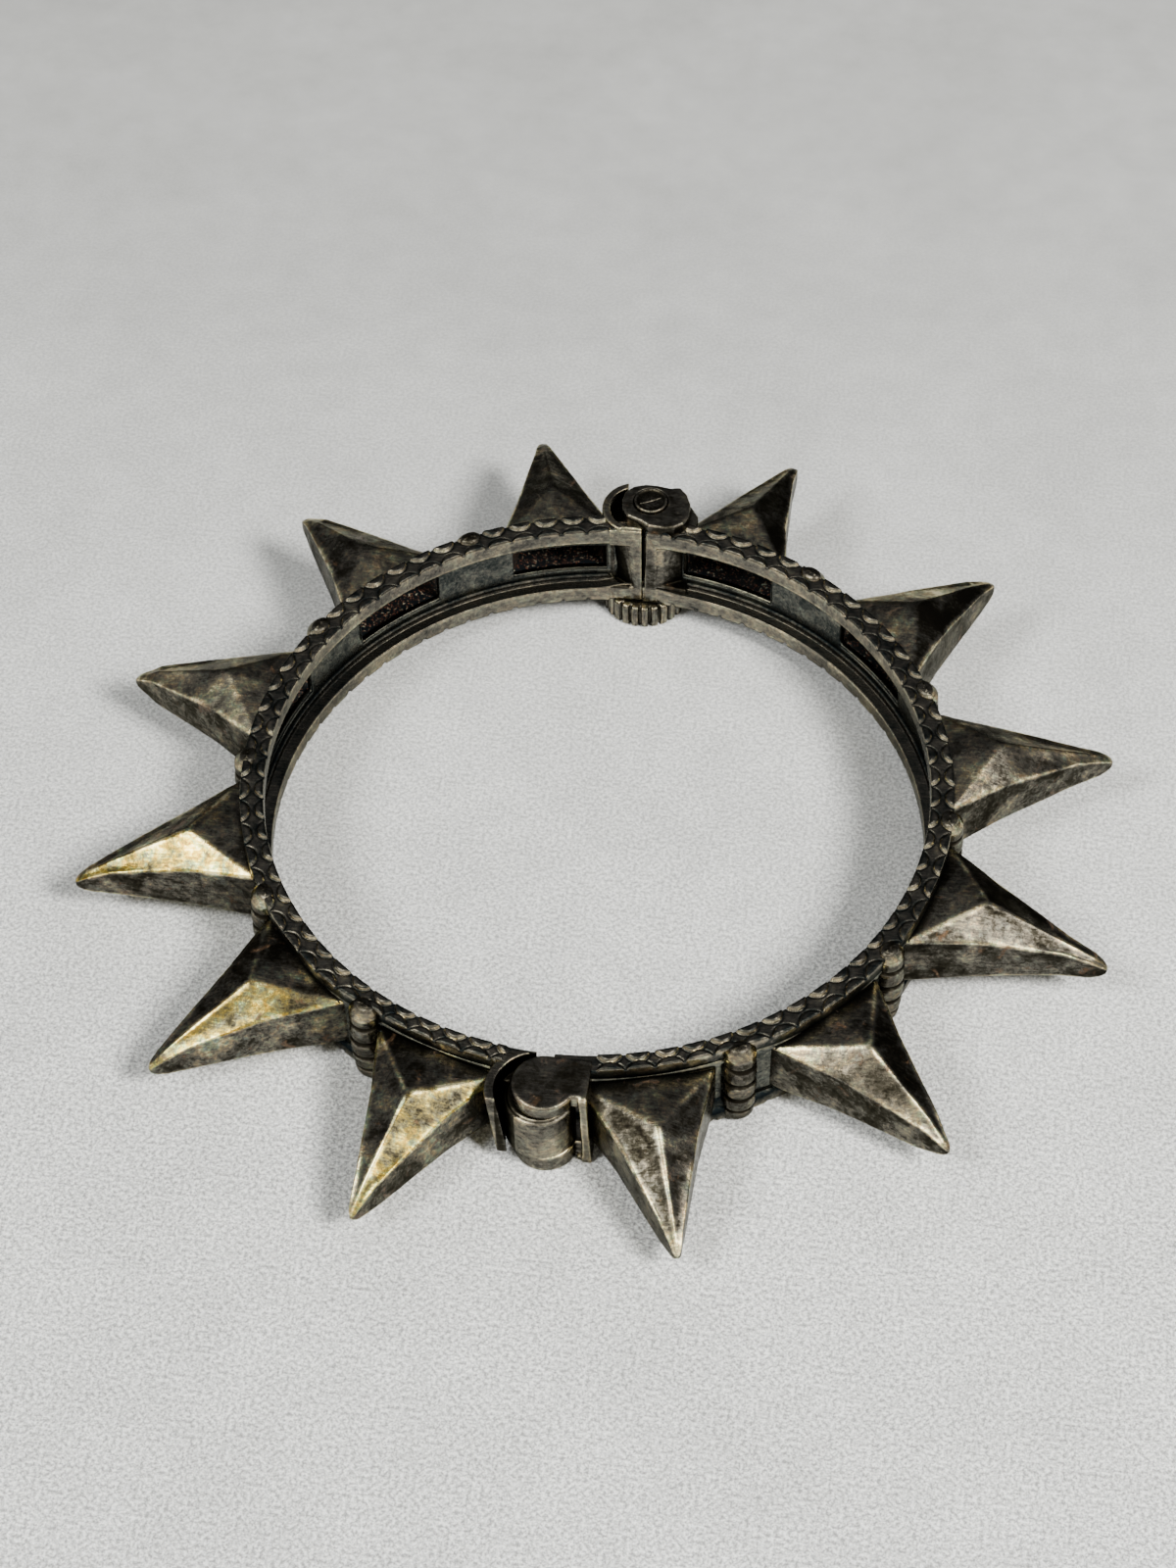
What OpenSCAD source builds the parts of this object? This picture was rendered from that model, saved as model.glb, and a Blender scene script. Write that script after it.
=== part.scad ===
// Hinged bangle with twelve hollow spikes, ribbed posts and a screw-pin clasp.
// The ring lies flat: hinge at -Y, clasp at +Y, Z up, the knob's foot at z = 0.

/* [Band] */
// Inside diameter of the closed ring
inner_d = 60; // [56:0.5:68]
// Radial width of the flange that carries the scallops
flange_w = 2.15; // [2:0.05:2.6]
// Height of the band over its relief
band_h = 9.8; // [9.4:0.1:10.8]
// Thickness of a flange without its relief
flange_t = 1.55; // [1.3:0.05:1.7]
// Thickness of the wall behind the channel
wall_t = 0.65; // [0.5:0.05:0.8]
// Half angle of the window behind each spike
window_half_deg = 8.4; // [6:0.1:9]
// Height of the window behind each spike
window_h = 3.4; // [2:0.1:3.8]

/* [Relief] */
// Scallops in one full turn of a row
scallop_count = 78; // [60:2:90]
// Height of the scallops above the flange
relief_h = 0.2; // [0.1:0.05:0.3]
// Depth of a scallop from the flange edge
scallop_depth = 0.9; // [0.7:0.05:1]
// Half length of a scallop along the edge
scallop_half = 1.12; // [0.8:0.02:1.2]

/* [Spikes] */
// Reach of a spike from the inner edge of the band
spike_reach = 17.2; // [14:0.2:19]
// Half width of a spike at its root
root_half_w = 6.1; // [5:0.1:6.3]
// Half height of a spike's side wall at its root
root_half_h = 2.9; // [2.4:0.1:3.1]
// Half height of a spike at its peak near the band
peak_half_h = 4.2; // [3.6:0.1:4.6]
// Metal thickness of a hollow spike
spike_skin = 0.75; // [0.6:0.05:1]

/* [Posts] */
// Rings in one ribbed post
post_rings = 5; // [3:1:7]
// Radius of a post at its belly
post_r = 1.6; // [1.55:0.05:1.7]
// Depth of the grooves between the rings
post_groove = 0.25; // [0.1:0.05:0.4]

/* [Hinge and clasp] */
// Radius of the knuckles
knuckle_r = 2.8; // [2.6:0.05:2.9]
// Radius of the hinge pin
hinge_pin_r = 1; // [0.8:0.05:1.2]
// Radius of the clasp screw's pin
screw_r = 1.6; // [1.2:0.05:1.65]
// Radius of the screw's ribbed knob
knob_r = 4; // [3.4:0.1:4.4]
// Height of the knob
knob_h = 2.7; // [2:0.1:3.4]
// Ribs round the knob
knob_ribs = 26; // [18:1:32]

/* [Hidden] */
$fn = 64;

// one row per spike: angle of the root, angle of the tip, extra reach
ROOT = 0;
TIP = 1;
EXTRA = 2;
right_spikes = [
  [73.9, 73.2, 0.4],
  [41.8, 43.4, -0.4],
  [13.4, 14.4, 0.4],
  [-14.5, -14, 0.7],
  [-43.9, -43.5, -0.4],
  [-74.6, -74.6, -0.5]
];
left_spikes = [
  [104.5, 104.5, 0.2],
  [135.4, 136, -0.3],
  [165.8, 167.1, -0.5],
  [195, 196.7, 0.2],
  [224, 223.8, 0.3],
  [252.4, 252.3, 0]
];
right_posts = [58, 26.2, -1.6, -29.7, -59.9];
left_posts = [120.2, 152.3, 182.7, 211.3, 239.1];

inner_r = inner_d / 2;
outer_r = inner_r + flange_w;
half_h = band_h / 2;
plate_z = half_h - relief_h;
flange_z = plate_z - flange_t;
wall_out_r = outer_r - 0.18;
wall_in_r = wall_out_r - wall_t;
step_r = wall_in_r - 0.25;
step_h = 0.7;
post_centre_r = outer_r - 0.4;
foot_gap = 0.1;
mid_z = knob_h + foot_gap + half_h;
far = 60;

// knuckle levels, from the middle of the band
gap = 0.25;
cap_t = 1.45;
foot_t = 2.05;
cap_z0 = half_h - 0.05 - cap_t;
cap_z1 = half_h - 0.05;
foot_z0 = 0.3 - half_h;
foot_z1 = foot_z0 + foot_t;
mid_z0 = foot_z1 + gap;
mid_z1 = cap_z0 - gap;

// hinge layout
hinge_y = -inner_r - 3.1;
hinge_notch_l = -1;
hinge_notch_r = 0.5;
hinge_guard = [-0.5, hinge_y - 0.6];
hinge_guard_r = 4.5;
hinge_pocket_r = 3.7;
hinge_guard_end = hinge_y - 2.1;
hinge_guard_z0 = -flange_z - 0.1;
hinge_plate_x = 3;
hinge_plate_t = 0.65;
hinge_plate_y = hinge_y - 1.2;
pin_free = 0.05;
pin_tight = 0.02;

// clasp layout
clasp_x = 0.45;
clasp_y = inner_r + 3.45;
clasp_part_l = 0.2;
clasp_part_r = 0.45;
clasp_flat_l = -0.7;
clasp_flat_r = 1.75;
clasp_guard = [clasp_x - 1.05, clasp_y - 0.3];
clasp_guard_r = 3.35;
clasp_pocket_r = 2.6;
clasp_guard_end_x = -1.7;
clasp_guard_z1 = plate_z + 0.5;
hook_r = 2.3;
hook_drop = 0.25;
lug_x = 4.6;
lug_y = clasp_y + 2;
lug_round = 1.4;
clasp_rise = 0.7;
screw_top = half_h + 0.85;

function root_x() = inner_r + 0.9;
function tip_r(row) = inner_r + spike_reach + row[EXTRA];

// sections of a spike: distance from the ring's centre, half width, half height
// of the side wall, half height at the ridge
function sections(row) = [
  [root_x(), root_half_w, root_half_h, 3.6],
  [inner_r + 7, 3.55, 2.5, peak_half_h],
  [inner_r + 14.3, 1.05, 1.55, 1.8],
  [tip_r(row), 0.2, 0.3, 0.38]
];

function inner_sections(row) = [
  [wall_out_r - 0.05, 4.7, 1.9, 2.5],
  [inner_r + 6.8, 3.55 - spike_skin, 1.8, peak_half_h - spike_skin],
  [inner_r + 12.2, 0.85, 0.95, 1.35],
  [inner_r + 13.8, 0.25, 0.3, 0.35]
];

// six corners round one section, slid sideways towards the tip's angle
function ring_points(s, slide) = [
  [s[0], slide + s[1], s[2]],
  [s[0], slide, s[3]],
  [s[0], slide - s[1], s[2]],
  [s[0], slide - s[1], -s[2]],
  [s[0], slide, -s[3]],
  [s[0], slide + s[1], -s[2]]
];
function slide_at(x, row) = tip_r(row) * sin(row[TIP] - row[ROOT])
  * (x - root_x()) / (tip_r(row) - root_x());
function spike_points(list, row) = [
  for (s = list) for (p = ring_points(s, slide_at(s[0], row))) p
];

// two triangles for each side of each bay; the diagonal starts at the side wall
function bay(i, k) = let(
    a = 6 * i + k,
    b = 6 * i + (k + 1) % 6,
    c = 6 * (i + 1) + (k + 1) % 6,
    d = 6 * (i + 1) + k
  )
  k % 3 == 1 ? [[d, b, a], [d, c, b]] : [[c, b, a], [d, c, a]];
function spike_faces(n) = concat(
  [[0, 1, 2, 3, 4, 5]],
  [for (i = [0 : n - 2]) for (k = [0 : 5]) for (t = bay(i, k)) t],
  [[for (k = [5 : -1 : 0]) 6 * (n - 1) + k]]
);

module faceted_spike(list, row) {
  rotate([0, 0, row[ROOT]])
    polyhedron(points = spike_points(list, row), faces = spike_faces(len(list)));
}

module spike_hollow(row) {
  faceted_spike(inner_sections(row), row);
  rotate([0, 0, row[ROOT]])
    rotate([0, 0, -window_half_deg])
      rotate_extrude(angle = 2 * window_half_deg)
        translate([wall_in_r - 0.5, -window_h / 2])
          square([wall_t + 0.6, window_h]);
}

// full C-shaped channel, open towards the wrist
module channel() {
  rotate_extrude()
    polygon([
      [inner_r, flange_z],
      [inner_r, plate_z],
      [outer_r, plate_z],
      [outer_r, flange_z + 0.35],
      [wall_out_r, flange_z + 0.15],
      [wall_out_r, -flange_z - 0.15],
      [outer_r, -flange_z - 0.35],
      [outer_r, -plate_z],
      [inner_r, -plate_z],
      [inner_r, -flange_z],
      [step_r, -flange_z],
      [step_r, step_h - flange_z],
      [wall_in_r, step_h + 0.1 - flange_z],
      [wall_in_r, flange_z - step_h - 0.1],
      [step_r, flange_z - step_h],
      [step_r, flange_z]
    ]);
}

// what the channel leaves free, with the wrist hollow
module channel_free() {
  rotate_extrude()
    polygon([
      [0, -far],
      [0, far],
      [inner_r, far],
      [inner_r, flange_z],
      [step_r, flange_z],
      [step_r, flange_z - step_h],
      [wall_in_r, flange_z - step_h - 0.1],
      [wall_in_r, step_h + 0.1 - flange_z],
      [step_r, step_h - flange_z],
      [step_r, -flange_z],
      [inner_r, -flange_z],
      [inner_r, -far]
    ]);
}

// a post of stacked rings that stands through both flanges
module post(a) {
  h = 2 * plate_z + 0.1;
  pitch = h / post_rings;
  rotate([0, 0, a])
    translate([post_centre_r, 0, -h / 2])
      rotate_extrude()
        polygon(concat(
          [[0, 0]],
          [
            for (i = [0 : post_rings - 1])
              for (p = [[post_groove, 0.06], [0, 0.06], [0, 0.94], [post_groove, 0.94]])
                [post_r - p[0], (i + p[1]) * pitch]
          ],
          [[0, h]]
        ));
}

// rows of half-round scallops on one flange, from angle a0 to angle a1
module scallops(a0, a1) {
  pitch = 360 / scallop_count;
  big_r = (scallop_half * scallop_half + scallop_depth * scallop_depth) / 2 / scallop_depth;
  small_half = scallop_half * inner_r / outer_r;
  small_r = (small_half * small_half + scallop_depth * scallop_depth) / 2 / scallop_depth;
  linear_extrude(relief_h + 0.2)
    intersection() {
      difference() {
        circle(r = outer_r - 0.02);
        circle(r = inner_r + 0.02);
      }
      for (a = [a0 + pitch / 2 : pitch : a1 - pitch / 2])
        rotate(a) {
          translate([outer_r + big_r - scallop_depth, 0])
            circle(r = big_r);
          translate([inner_r - small_r + scallop_depth, 0])
            circle(r = small_r);
        }
    }
}

module both_scallops(a0, a1) {
  translate([0, 0, plate_z - 0.2])
    scallops(a0, a1);
  mirror([0, 0, 1])
    translate([0, 0, plate_z - 0.2])
      scallops(a0, a1);
}

module slab(z0, z1) {
  translate([0, 0, z0])
    linear_extrude(z1 - z0)
      children();
}

module block(x0, x1, y0, y1) {
  translate([x0, y0])
    square([x1 - x0, y1 - y0]);
}

module disc_at(p, r) {
  translate(p)
    circle(r = r);
}

module hinge_pocket() {
  disc_at([0, hinge_y], knuckle_r + 0.2);
  disc_at(hinge_guard, hinge_pocket_r);
}

module clasp_pocket() {
  disc_at([clasp_x, clasp_y], knuckle_r + 0.2);
  disc_at(clasp_guard, clasp_pocket_r);
}

// the left side's room for the other half's knuckles, above and below its own
module left_pockets() {
  slab(mid_z1, far) {
    hinge_pocket();
    clasp_pocket();
  }
  slab(-far, mid_z0) {
    hinge_pocket();
    clasp_pocket();
  }
}

module left_channel() {
  difference() {
    channel();
    slab(-far, far) {
      block(clasp_part_l, far, 0, far);
      block(hinge_notch_l, far, -far, 0);
    }
  }
}

module left_body() {
  left_channel();
  for (row = left_spikes)
    faceted_spike(sections(row), row);
  for (a = left_posts)
    post(a);
  // guard round the hinge
  slab(hinge_guard_z0, plate_z)
    intersection() {
      disc_at(hinge_guard, hinge_guard_r);
      block(-far, hinge_notch_l, hinge_guard_end, 0);
    }
  // guard round the clasp and the end block at the parting line
  slab(-plate_z, clasp_guard_z1) {
    intersection() {
      disc_at(clasp_guard, clasp_guard_r);
      block(-far, clasp_guard_end_x, 0, far);
    }
    intersection() {
      disc_at(clasp_guard, clasp_guard_r);
      block(-far, clasp_part_l, inner_r - 2, clasp_y + 0.6);
    }
  }
  slab(-plate_z, plate_z)
    polygon([
      [clasp_part_l, inner_r - 0.5],
      [clasp_flat_l, inner_r - 0.5],
      [-2.6, wall_in_r + 0.1],
      [clasp_part_l, clasp_y]
    ]);
  both_scallops(95, 264);
}

module left_half() {
  color("silver")
    translate([0, 0, mid_z])
      difference() {
        union() {
          difference() {
            left_body();
            left_channel_free();
            left_end_bevel();
            for (row = left_spikes)
              spike_hollow(row);
            left_pockets();
            // spikes never cross into the other half
            slab(-far, far)
              block(hinge_notch_l, far, -far, 0);
          }
          slab(mid_z0, mid_z1) {
            disc_at([0, hinge_y], knuckle_r);
            disc_at([clasp_x, clasp_y], hook_r);
          }
        }
        translate([0, hinge_y, -far / 2])
          cylinder(r = hinge_pin_r + pin_free, h = far);
        translate([clasp_x, clasp_y, -far / 2])
          cylinder(r = screw_r + 0.1, h = far);
        slab(mid_z0 - 0.1, mid_z1 + 0.1)
          block(clasp_x, far, clasp_y - screw_r - 0.1 - hook_drop, clasp_y + screw_r + 0.1);
      }
}

// the channel's free room between the two end blocks of the left half
module left_channel_free() {
  difference() {
    channel_free();
    slab(-plate_z, clasp_guard_z1)
      difference() {
        block(-3, clasp_part_l, 0, far);
        circle(r = inner_r);
      }
    slab(-plate_z, plate_z)
      difference() {
        disc_at(hinge_guard, hinge_guard_r);
        circle(r = inner_r);
      }
  }
}

// the slanted face behind the left end block, between the flanges
module left_end_bevel() {
  slab(-flange_z, flange_z)
    polygon([
      [-3.1, inner_r - 1],
      [clasp_flat_l, inner_r - 1],
      [clasp_flat_l, inner_r + 0.1],
      [-1.7, inner_r + 0.8],
      [-2.6, wall_in_r],
      [-3.1, wall_in_r]
    ]);
}

module lug_round_corner() {
  block(clasp_x, lug_x - lug_round, inner_r, lug_y);
  block(clasp_x, lug_x, inner_r, lug_y - lug_round);
  disc_at([lug_x - lug_round, lug_y - lug_round], lug_round);
}

module hinge_leaf() {
  difference() {
    union() {
      disc_at([0, hinge_y], knuckle_r);
      block(0, hinge_plate_x + hinge_plate_t, hinge_plate_y, hinge_y + knuckle_r - 0.2);
    }
    circle(r = inner_r);
  }
}

module clasp_leaf() {
  difference() {
    union() {
      disc_at([clasp_x, clasp_y], knuckle_r);
      lug_round_corner();
    }
    circle(r = inner_r);
  }
}

module right_body() {
  difference() {
    channel();
    slab(-far, far) {
      block(-far, clasp_part_r, 0, far);
      block(-far, hinge_notch_r, -far, 0);
    }
  }
  for (row = right_spikes)
    faceted_spike(sections(row), row);
  for (a = right_posts)
    post(a);
  both_scallops(-82, 86);
}

module right_ends() {
  // plates that close the channel at both ends
  slab(-plate_z, plate_z)
    difference() {
      union() {
        block(hinge_plate_x, hinge_plate_x + hinge_plate_t, hinge_plate_y, -inner_r + 2);
        block(lug_x - 0.6, lug_x, inner_r - 2, clasp_y + 1);
        polygon([
          [clasp_part_r, inner_r - 1],
          [clasp_flat_r, inner_r - 1],
          [clasp_flat_r, inner_r],
          [lug_x - 0.6, wall_in_r],
          [lug_x - 0.6, wall_out_r - 0.2],
          [clasp_part_r, inner_r + 0.9]
        ]);
      }
      circle(r = inner_r);
    }
  slab(cap_z0, cap_z1)
    hinge_leaf();
  slab(foot_z0, foot_z1)
    hinge_leaf();
  slab(cap_z0, cap_z1 + clasp_rise)
    clasp_leaf();
  slab(-cap_z1, foot_z1)
    clasp_leaf();
}

module right_half() {
  color("gainsboro")
    translate([0, 0, mid_z])
      difference() {
        union() {
          difference() {
            right_body();
            channel_free();
            for (row = right_spikes)
              spike_hollow(row);
            // spikes end at the plates
            slab(-far, far) {
              block(-far, hinge_plate_x, -far, hinge_y + 1.3);
              block(-far, lug_x - 0.6, clasp_y - 0.8, far);
            }
          }
          right_ends();
        }
        // room for the other half's knuckles
        slab(foot_z1, cap_z0) {
          disc_at([0, hinge_y], knuckle_r + 0.15);
          block(-1, hinge_plate_x - 0.3, hinge_y + 1, -inner_r + 1);
          disc_at([clasp_x, clasp_y], hook_r + 0.15);
        }
        translate([0, hinge_y, -far])
          cylinder(r = hinge_pin_r + pin_tight, h = far + cap_z0 + 0.85);
        translate([clasp_x, clasp_y, -far / 2])
          cylinder(r = screw_r + pin_free, h = far);
      }
}

module hinge_pin() {
  color("dimgray")
    translate([0, hinge_y, mid_z + foot_z0])
      cylinder(r = hinge_pin_r, h = cap_z0 + 0.8 - foot_z0);
}

module clasp_screw() {
  rib_r = 0.42;
  color("darkgray")
    translate([clasp_x, clasp_y, 0])
      difference() {
        union() {
          cylinder(r = knob_r - 0.25, h = knob_h);
          for (i = [0 : knob_ribs - 1])
            rotate([0, 0, i * 360 / knob_ribs])
              translate([knob_r - rib_r, 0, 0.15])
                cylinder(r = rib_r, h = knob_h - 0.3);
          cylinder(r = screw_r, h = mid_z + screw_top);
        }
        translate([0, 0, mid_z + screw_top - 0.12])
          difference() {
            cylinder(r = screw_r - 0.35, h = 1);
            translate([0, 0, -1])
              cylinder(r = screw_r - 0.55, h = 3);
          }
      }
}

left_half();
right_half();
hinge_pin();
clasp_screw();
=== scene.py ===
"""Looks of a hinged silver bangle with twelve spikes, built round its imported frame."""

import math
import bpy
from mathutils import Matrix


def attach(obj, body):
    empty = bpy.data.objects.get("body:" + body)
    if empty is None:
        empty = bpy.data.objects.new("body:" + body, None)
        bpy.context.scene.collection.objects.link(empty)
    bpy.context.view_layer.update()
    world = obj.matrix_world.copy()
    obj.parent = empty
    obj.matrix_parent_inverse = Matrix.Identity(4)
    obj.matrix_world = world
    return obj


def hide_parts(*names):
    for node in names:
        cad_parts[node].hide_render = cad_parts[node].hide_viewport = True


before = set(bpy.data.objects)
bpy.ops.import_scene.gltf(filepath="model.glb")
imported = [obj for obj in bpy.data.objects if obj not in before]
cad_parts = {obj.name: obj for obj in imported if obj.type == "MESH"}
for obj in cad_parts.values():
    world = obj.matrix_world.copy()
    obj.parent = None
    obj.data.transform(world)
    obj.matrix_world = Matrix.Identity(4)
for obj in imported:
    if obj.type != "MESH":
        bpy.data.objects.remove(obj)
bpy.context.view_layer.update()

import bpy  # noqa: E402
import numpy as np  # noqa: E402
from mathutils import Matrix, Vector  # noqa: E402

bl_info = {
    "name": "Spiked bangle",
    "version": (1, 0, 0),
    "blender": (4, 5, 0),
    "location": "3D View > Sidebar > Bangle",
    "description": "Builds a hinged bangle of oxidised silver with hollow spikes",
    "category": "Add Mesh",
}

MM = 0.001

# Sizes and places are in millimetres and degrees about the ring's centre. Heights are taken from
# the middle of the band, but from the knob's foot for the screw, the pin and the floor. The clasp
# is at 90 degrees and the hinge at 270. A shade runs from 0, bright metal, to 1, black oxide.

# angle of the root, angle of the tip and extra reach of each spike
SPIKES = {
    "left": [
        (104.5, 104.5, 0.2),
        (135.4, 136.0, -0.3),
        (165.8, 167.1, -0.5),
        (195.0, 196.7, 0.4),
        (224.0, 223.4, 0.3),
        (252.4, 252.0, 0.0),
    ],
    "right": [
        (73.9, 73.2, 0.4),
        (41.8, 43.4, -0.1),
        (13.4, 14.4, 0.65),
        (-14.5, -14.0, 0.95),
        (-43.9, -43.2, -0.3),
        (-74.6, -74.2, -0.3),
    ],
}
# angles of the ringed posts
POSTS = {
    "left": (120.2, 152.3, 182.7, 211.3, 239.1),
    "right": (58.0, 26.2, -1.6, -29.7, -59.9),
}
# first and last angle of each half's flanges, of its wall and of its scallops
BAND_ENDS = {"left": (89.85, 268.05), "right": (-89.0, 89.4)}
WALL_ENDS = {"left": (94.0, 261.5), "right": (-83.6, 82.4)}
RELIEF_ENDS = {"left": (95.0, 263.5), "right": (-82.5, 86.0)}
# the window behind each spike, and the inner and outer radius of the wall that it is cut from
WINDOW_HALF_DEG = 8.4
WINDOW_HALF_H = 1.65
WALL_R = (31.32, 31.97)
# radii where a spike's root, its peak and the end of its hollow lie
ROOT_R = 31.2
PEAK_R = 37.0
HOLLOW_R = 43.8
# centres of the knuckles and of the rounded guards beside them
HINGE = (0.0, -33.1)
HINGE_GUARD = (-0.5, -33.7)
CLASP = (0.45, 33.45)
CLASP_GUARD = (-0.6, 33.15)
# upper end of the clasp's screw, which leans a little
SCREW_END = (0.72, 33.45)
# centre and radius of the rooms that the guards and knuckles take from the flanges
POCKETS = {
    "left": ((HINGE_GUARD, 3.7), (CLASP_GUARD, 2.6), (CLASP, 3.0)),
    "right": (),
}
# the flat top of the clasp's lug
LUG = (
    (-2.1, 33.4), (-1.9, 34.5), (-1.2, 35.3), (-0.1, 35.7), (1.2, 35.72), (2.38, 35.5), (3.3, 35.7),
    (4.05, 34.9), (4.55, 33.6), (4.6, 32.0), (4.2, 30.95), (3.4, 30.35), (2.5, 30.1), (0.9, 30.2),
    (0.07, 30.75), (-1.3, 31.3), (-1.95, 32.3),
)
# the round shelf under the lug, and the right half's flat end with the metal behind it
LUG_SHELF = ((2.2, 30.6), (4.7, 30.5), (5.4, 31.8), (5.35, 33.3), (4.6, 34.4), (2.2, 34.4))
RIGHT_END = ((0.44, 29.6), (1.8, 29.4), (1.8, 31.2), (0.44, 30.95))
RIGHT_END_BACK = ((1.2, 29.6), (4.6, 29.0), (4.6, 31.9), (3.7, 31.9), (1.2, 30.95))
# the hollow cheeks that run from the clasp's flat ends back to the band's wall
LEFT_CHEEK = (
    (-3.6, 29.0), (-0.6, 29.0), (-0.62, 30.15), (-1.05, 30.42), (-1.7, 30.75), (-2.5, 31.28),
    (-3.6, 31.3),
)
RIGHT_CHEEK = (
    (1.62, 29.0), (6.0, 29.0), (6.0, 32.2), (4.1, 31.35), (2.7, 30.6), (1.7, 30.16),
)
CHEEK_FLOOR = -3.05
CHEEK_ROOF = 2.8


class BangleSizes(bpy.types.PropertyGroup):
    """Sizes a maker would change."""

    inner_d: bpy.props.FloatProperty(
        name="Inner diameter", description="Wrist opening", default=0.060, unit="LENGTH"
    )
    flange_w: bpy.props.FloatProperty(
        name="Flange width", description="Radial width of a flange", default=0.00215, unit="LENGTH"
    )
    band_h: bpy.props.FloatProperty(
        name="Band height", description="Height over the relief", default=0.0098, unit="LENGTH"
    )
    mid_z: bpy.props.FloatProperty(
        name="Band level", description="Middle of the band above the knob's foot",
        default=0.0077, unit="LENGTH",
    )
    spike_reach: bpy.props.FloatProperty(
        name="Spike reach", description="From the inner edge to a tip", default=0.0172, unit="LENGTH"
    )
    scallops: bpy.props.IntProperty(
        name="Scallops", description="Scallops in one full turn", default=78, min=60, max=90
    )
    knob_ribs: bpy.props.IntProperty(
        name="Knob ribs", description="Ribs round the knob", default=26, min=18, max=32
    )


class BangleFinish(bpy.types.PropertyGroup):
    """Colours of the metal and of the floor."""

    bright: bpy.props.FloatVectorProperty(
        name="Bright silver", description="Metal on worn edges", subtype="COLOR",
        size=3, default=(0.95, 0.86, 0.58), min=0, max=1,
    )
    oxide: bpy.props.FloatVectorProperty(
        name="Oxide", description="Metal in hollows", subtype="COLOR",
        size=3, default=(0.010, 0.009, 0.007), min=0, max=1,
    )
    floor: bpy.props.FloatVectorProperty(
        name="Floor", description="Pale paper under the bangle", subtype="COLOR",
        size=3, default=(0.615, 0.62, 0.60), min=0, max=1,
    )


# Arrays and meshes


def smoothstep(a, b, x):
    """0 on the far side of a, 1 on the far side of b, with a soft rise between them."""
    t = np.clip((x - a) / (b - a), 0, 1)
    return t * t * (3 - 2 * t)


def smooth_min(a, b, k):
    """The smaller of two values, with their meeting rounded over a width k."""
    h = np.clip(0.5 + 0.5 * (b - a) / k, 0, 1)
    return b + (a - b) * h - k * h * (1 - h)


def smooth_max(a, b, k):
    """The larger of two values, with their meeting rounded over a width k."""
    return -smooth_min(-a, -b, k)


LATTICE_SIDE = 48
LATTICE = np.random.default_rng(11).random((LATTICE_SIDE,) * 3)


def lumps(p, size, octaves=2):
    """Smooth random relief between -1 and 1 over points in millimetres."""
    total, weight, out = 0.0, 1.0, 0.0
    for octave in range(octaves):
        q = p / size * 2**octave + 17.3 * octave
        i = np.floor(q).astype(int)
        f = q - i
        f = f * f * (3 - 2 * f)
        i0, i1 = i % LATTICE_SIDE, (i + 1) % LATTICE_SIDE
        v = 0.0
        for dx in (0, 1):
            for dy in (0, 1):
                for dz in (0, 1):
                    ix = (i1 if dx else i0)[..., 0]
                    iy = (i1 if dy else i0)[..., 1]
                    iz = (i1 if dz else i0)[..., 2]
                    w = (
                        (f[..., 0] if dx else 1 - f[..., 0])
                        * (f[..., 1] if dy else 1 - f[..., 1])
                        * (f[..., 2] if dz else 1 - f[..., 2])
                    )
                    v = v + w * LATTICE[ix, iy, iz]
        out = out + weight * (2 * v - 1)
        total += weight
        weight *= 0.5
    return out / total


def polar(r, deg, z):
    """Points from radius, angle in degrees and height."""
    a = np.radians(deg)
    return np.stack(np.broadcast_arrays(r * np.cos(a), r * np.sin(a), z), -1)


def turn(p, deg):
    """Points turned about the ring's axis."""
    a = math.radians(deg)
    c, s = math.cos(a), math.sin(a)
    return np.stack([c * p[..., 0] - s * p[..., 1], s * p[..., 0] + c * p[..., 1], p[..., 2]], -1)


def circle(count):
    """Angles once round, in radians."""
    return np.linspace(0, 2 * math.pi, count, endpoint=False)


def grid_quads(rows, cols, flip=False):
    """Quads round a tube of rows x cols vertices laid out row by row."""
    r = np.arange(rows - 1)[:, None]
    c = np.arange(cols)[None, :]
    n = (c + 1) % cols
    corners = (r * cols + c, r * cols + n, (r + 1) * cols + n, (r + 1) * cols + c)
    q = np.stack(np.broadcast_arrays(*corners), -1).reshape(-1, 4)
    return q[:, ::-1] if flip else q


class Shell:
    """Collects vertices, faces and shade values of one piece, in millimetres."""

    def __init__(self):
        self.points = []
        self.faces = []
        self.tones = []
        self.count = 0

    def add(self, points, faces, tone):
        """Takes over points, arrays of faces that count from 0, and one shade or one for each point."""
        points = np.asarray(points, float).reshape(-1, 3)
        tone = np.broadcast_to(np.asarray(tone, float).reshape(-1), (len(points),))
        for f in faces:
            f = np.asarray(f)
            if len(f):
                self.faces.append(f + self.count)
        self.points.append(points)
        self.tones.append(tone)
        self.count += len(points)

    def tube(self, rings, tone, flip=False):
        """Closed cross-sections joined one after another, with a face over each end."""
        rows, cols = rings.shape[:2]
        first = np.arange(cols)[None, :]
        last = first + (rows - 1) * cols
        ends = [first, last[:, ::-1]] if flip else [first[:, ::-1], last]
        self.add(rings, [grid_quads(rows, cols, flip), *ends], tone)


def vertex_normals(points, faces):
    """Directions away from the surface, weighted by the faces' areas."""
    n = np.zeros_like(points)
    for f in faces:
        a, b, c = points[f[:, 0]], points[f[:, 1]], points[f[:, 2]]
        m = np.cross(b - a, c - a)
        if f.shape[1] > 3:
            m = m + np.cross(c - a, points[f[:, 3]] - a)
        for k in range(f.shape[1]):
            np.add.at(n, f[:, k], m)
    return n / np.maximum(np.linalg.norm(n, axis=1, keepdims=True), 1e-12)


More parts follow.
